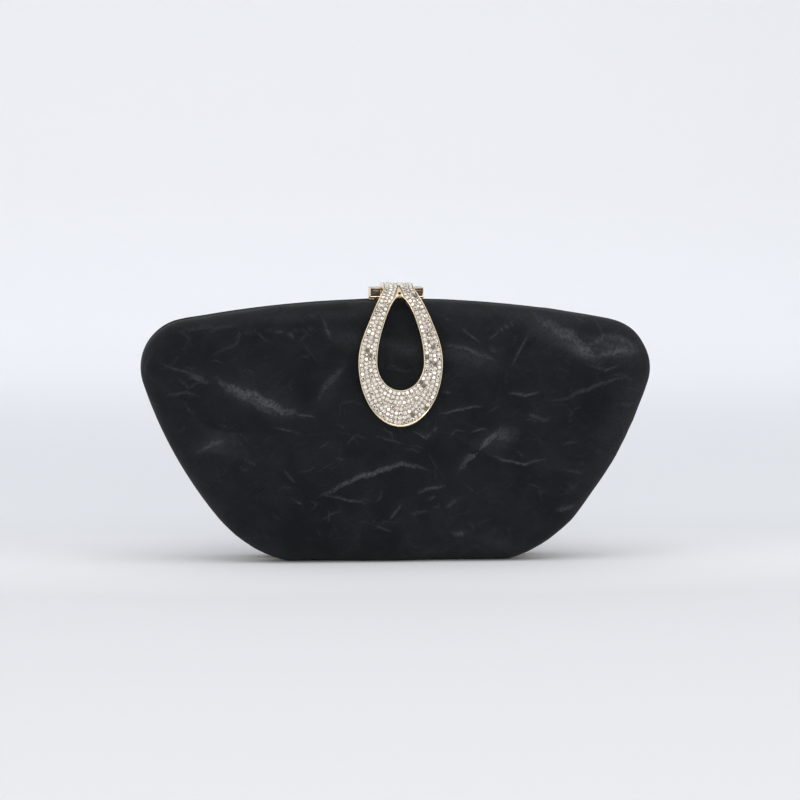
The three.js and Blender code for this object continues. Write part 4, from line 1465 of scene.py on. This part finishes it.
def clasp_inlay(hand):
    """A square with a low pyramid cut, set in an ear's frame, coloured dark as a painted reflection."""
    node = f"clasp_inlay_{hand}"
    low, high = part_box(node)
    vertices, faces = stepped_part([
        (low.x + inset, high.x - inset, low.z + inset, high.z - inset,
         low.y + (high.y - low.y) * part + 0.1 * MM)
        for inset, part in ((0.0, 1.0), (0.0, 0.4), (0.5 * MM, 0.05), (0.8 * MM, 0.0))
    ])
    inlay = mesh_object(f"inlay_{hand}", vertices, faces, smooth=False)
    soften(inlay, 0.06 * MM, 25)
    finish_piece(inlay, INLAY_REFLECTION_LOOK, FRONT, "inlay", node)


def pivot_pin():
    """The pin that the lever turns on, with dimpled ends."""
    low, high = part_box("clasp_pin")
    radius = (high.z - low.z) / 2
    end = [(0.2 * radius, 0.15 * MM), (0.35 * radius, 0.02 * MM), (0.8 * radius, 0), (radius, 0.2 * MM)]
    pin = rod_part(end, high.x - low.x, (low.x, PIVOT.y, PIVOT.z), 28)
    solid_piece("pivot_pin", [pin], STEEL_LOOK, FRONT, "gold", "clasp_pin")


def base_screw(hand):
    """A screw with a dimpled head, up through the rim into the block."""
    node = f"clasp_screw_{hand}"
    low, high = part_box(node)
    middle = (low + high) / 2
    head, shank, head_height = (high.x - low.x) / 2, 0.7 * MM, 0.9 * MM
    profile = [
        (0.45 * head, 0.35 * MM), (0.5 * head, 0.02 * MM), (0.85 * head, 0.0), (head, 0.2 * MM),
        (head, head_height), (shank, head_height), (shank, high.z - low.z),
    ]
    part = turned_part(profile, (middle.x, middle.y, low.z), (0, 0, 1), 24)
    solid_piece(f"base_screw_{hand}", [part], STEEL_LOOK, FRONT, "steel", node, sharp=50)


def keeper_rivet(hand):
    """A rivet that holds the keeper's leaf to the back rim."""
    node = f"keeper_rivet_{hand}"
    low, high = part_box(node)
    rivet(node, BACK, low.z + 0.3 * MM, high.z - 0.35 * MM, 0.95 * MM)


def keeper():
    """The leaf spring on the back rim, with its upturned tooth."""
    low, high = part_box("keeper_leaf")
    thick, tooth = 0.5 * MM, 0.55 * MM
    leaf = join_meshes("keeper_spring", [
        box_part((low.x, low.y, low.z), (high.x, high.y, low.z + thick)),
        box_part((-5.1 * MM, low.y, low.z + 0.1 * MM), (2 * MM, low.y + tooth, high.z)),
    ])
    soften(leaf, 0.12 * MM)
    finish_piece(leaf, STEEL_LOOK, BACK, "steel", "keeper_leaf")


def torsion_spring():
    """A coil round the pivot pin, with a leg that runs forward to the block's bar."""
    low_x, high_x, radius, wire = 2.7 * MM, 6.3 * MM, 1.6 * MM, 0.25 * MM
    turns, per_turn = 4, 24
    points = [PIVOT + Vector((low_x, y, -radius)) for y in (-7.2 * MM, -3 * MM)]
    steps = turns * per_turn
    for i in range(steps + 1):
        angle = 2 * math.pi * i / per_turn
        x = low_x + (high_x - low_x) * i / steps
        points.append(PIVOT + Vector((x, radius * math.sin(angle), -radius * math.cos(angle))))
    curve = bpy.data.curves.new("torsion_coil", "CURVE")
    curve.dimensions = "3D"
    curve.bevel_depth = wire
    curve.bevel_resolution = 3
    curve.use_fill_caps = True
    spline = curve.splines.new("POLY")
    spline.points.add(len(points) - 1)
    for target, point in zip(spline.points, points):
        target.co = (*point, 1)
    temporary = new_object("coil_curve", curve)
    bpy.context.view_layer.update()
    mesh = bpy.data.meshes.new_from_object(temporary.evaluated_get(bpy.context.evaluated_depsgraph_get()))
    bpy.data.objects.remove(temporary)
    for polygon in mesh.polygons:
        polygon.use_smooth = True
    finish_piece(new_object("torsion_coil", mesh), STEEL_LOOK, FRONT, "steel", "clasp_spring")


hub_and_hook()
clasp_block()
for hand in ("left", "right"):
    clasp_inlay(hand)
pivot_pin()
for hand in ("left", "right"):
    base_screw(hand)
    keeper_rivet(hand)
keeper()
torsion_spring()


# ---------- stage, light, camera ----------

BACKDROP_Y = 1.75           # where the floor starts to curve up, beyond the reach of any view
BACKDROP_CURVE = 0.5
COOL, WARM, WHITE = (0.965, 0.98, 1.0), (1.0, 0.965, 0.91), (1, 1, 1)


def paper_finish():
    """Studio paper: palest round the purse, a painted pool of light, and a little darker behind its foot,
    painted shade.
    """
    f = Finish("studio_paper", (0.83, 0.84, 0.87), 0.9, Specular_IOR_Level=0.2)
    split = f.add("ShaderNodeSeparateXYZ", Vector=f.place)
    # Painted shade: darker on the low floor behind the purse.
    behind = f.ramp(split.outputs["Y"], -0.02, 0.22)
    low = f.ramp(split.outputs["Z"], 0.02, 0.16, 1.0, 0.0)
    # Painted light: a pool of paler paper round the purse.
    narrowed = f.add("ShaderNodeMapping", Vector=f.place, Scale=(1, 2.3, 1))
    away = f.vector("LENGTH", narrowed.outputs["Vector"])["Value"]
    near = f.ramp(away, 0.06, 0.33, 1.0, 0.0)
    paper = f.mix(near, (0.805, 0.815, 0.84), (0.945, 0.955, 0.98))
    f.color(f.mix(f.times(behind, low), paper, (0.835, 0.85, 0.88)))
    return f.material


def stage():
    """A pale floor that curves up into a backdrop."""
    steps = 12
    front_y, half_width, top_z = -8.0, 8, 2.6
    profile = [(front_y, 0.0), (BACKDROP_Y, 0.0)]
    for i in range(1, steps + 1):
        angle = math.pi / 2 * i / steps
        rise = BACKDROP_CURVE * (1 - math.cos(angle))
        profile.append((BACKDROP_Y + BACKDROP_CURVE * math.sin(angle), rise))
    profile.append((BACKDROP_Y + BACKDROP_CURVE, top_z))
    vertices = [(x, y, z) for y, z in profile for x in (-half_width, half_width)]
    floor = mesh_object("studio_floor", vertices, grid_faces(len(profile), 2, closed=False))
    floor.data.materials.append(paper_finish())


def area_light(name, place, target, size, power, color):
    light = bpy.data.lights.new(name, "AREA")
    light.shape = "RECTANGLE"
    light.size, light.size_y = size
    light.energy = power
    light.color = color
    obj = new_object(name, light)
    obj.location = place
    obj.rotation_euler = (Vector(target) - Vector(place)).to_track_quat("-Z", "Y").to_euler()
    obj.visible_camera = False


def studio_air():
    """Even light from all round, dimmer from straight ahead of the purse."""
    world = bpy.data.worlds.new("studio_air")
    world.use_nodes = True
    nodes, links = world.node_tree.nodes, world.node_tree.links
    direction = nodes.new("ShaderNodeTexCoord")
    split = nodes.new("ShaderNodeSeparateXYZ")
    links.new(direction.outputs["Generated"], split.inputs[0])
    forward = nodes.new("ShaderNodeMapRange")
    forward.interpolation_type = "SMOOTHSTEP"
    links.new(split.outputs["Y"], forward.inputs["Value"])
    limits = (("From Min", -0.95), ("From Max", -0.55), ("To Min", 0.48), ("To Max", 0.80))
    for socket, value in limits:
        forward.inputs[socket].default_value = value
    background = nodes["Background"]
    background.inputs["Color"].default_value = (*COOL, 1)
    links.new(forward.outputs["Result"], background.inputs["Strength"])
    bpy.context.scene.world = world


def lights():
    """Soft light from overhead, warmer light from the front and both sides, and a wash on the backdrop."""
    middle = (0, PARTING, HEIGHT / 2)
    wall_foot = (0, BACKDROP_Y + BACKDROP_CURVE, 0.35)
    area_light("top_softbox", (0.08, -0.35, 1.2), middle, (1.4, 0.9), 3.1, WHITE)
    area_light("left_strip", (-1.0, -0.9, 0.4), middle, (0.25, 0.6), 1.1, WARM)
    area_light("right_strip", (1.0, -0.9, 0.4), middle, (0.25, 0.6), 0.9, WARM)
    area_light("front_panel", (0.0, -1.7, 0.42), middle, (0.8, 0.4), 4.4, WARM)
    area_light("backdrop_wash", (0.0, 1.4, 1.3), wall_foot, (3.0, 0.2), 8.5, WHITE)


def camera():
    """The camera looks along +Y from a little to the left and a little above."""
    azimuth, elevation, distance = math.radians(-5), math.radians(3.5), 1.5
    view_width = 0.344
    aim = Vector((2 * MM, PARTING, 68.0 * MM))
    level = math.cos(elevation)
    towards = Vector((math.sin(azimuth) * level, -math.cos(azimuth) * level, math.sin(elevation)))
    data = bpy.data.cameras.new("camera")
    data.sensor_width = 36
    data.lens = data.sensor_width * distance / view_width
    data.clip_start, data.clip_end = 0.05, 20
    obj = new_object("camera", data)
    obj.location = aim + towards * distance
    obj.rotation_euler = (-towards).to_track_quat("-Z", "Y").to_euler()
    bpy.context.scene.camera = obj


stage()
studio_air()
lights()
camera()
bpy.context.scene.view_settings.view_transform = "Standard"
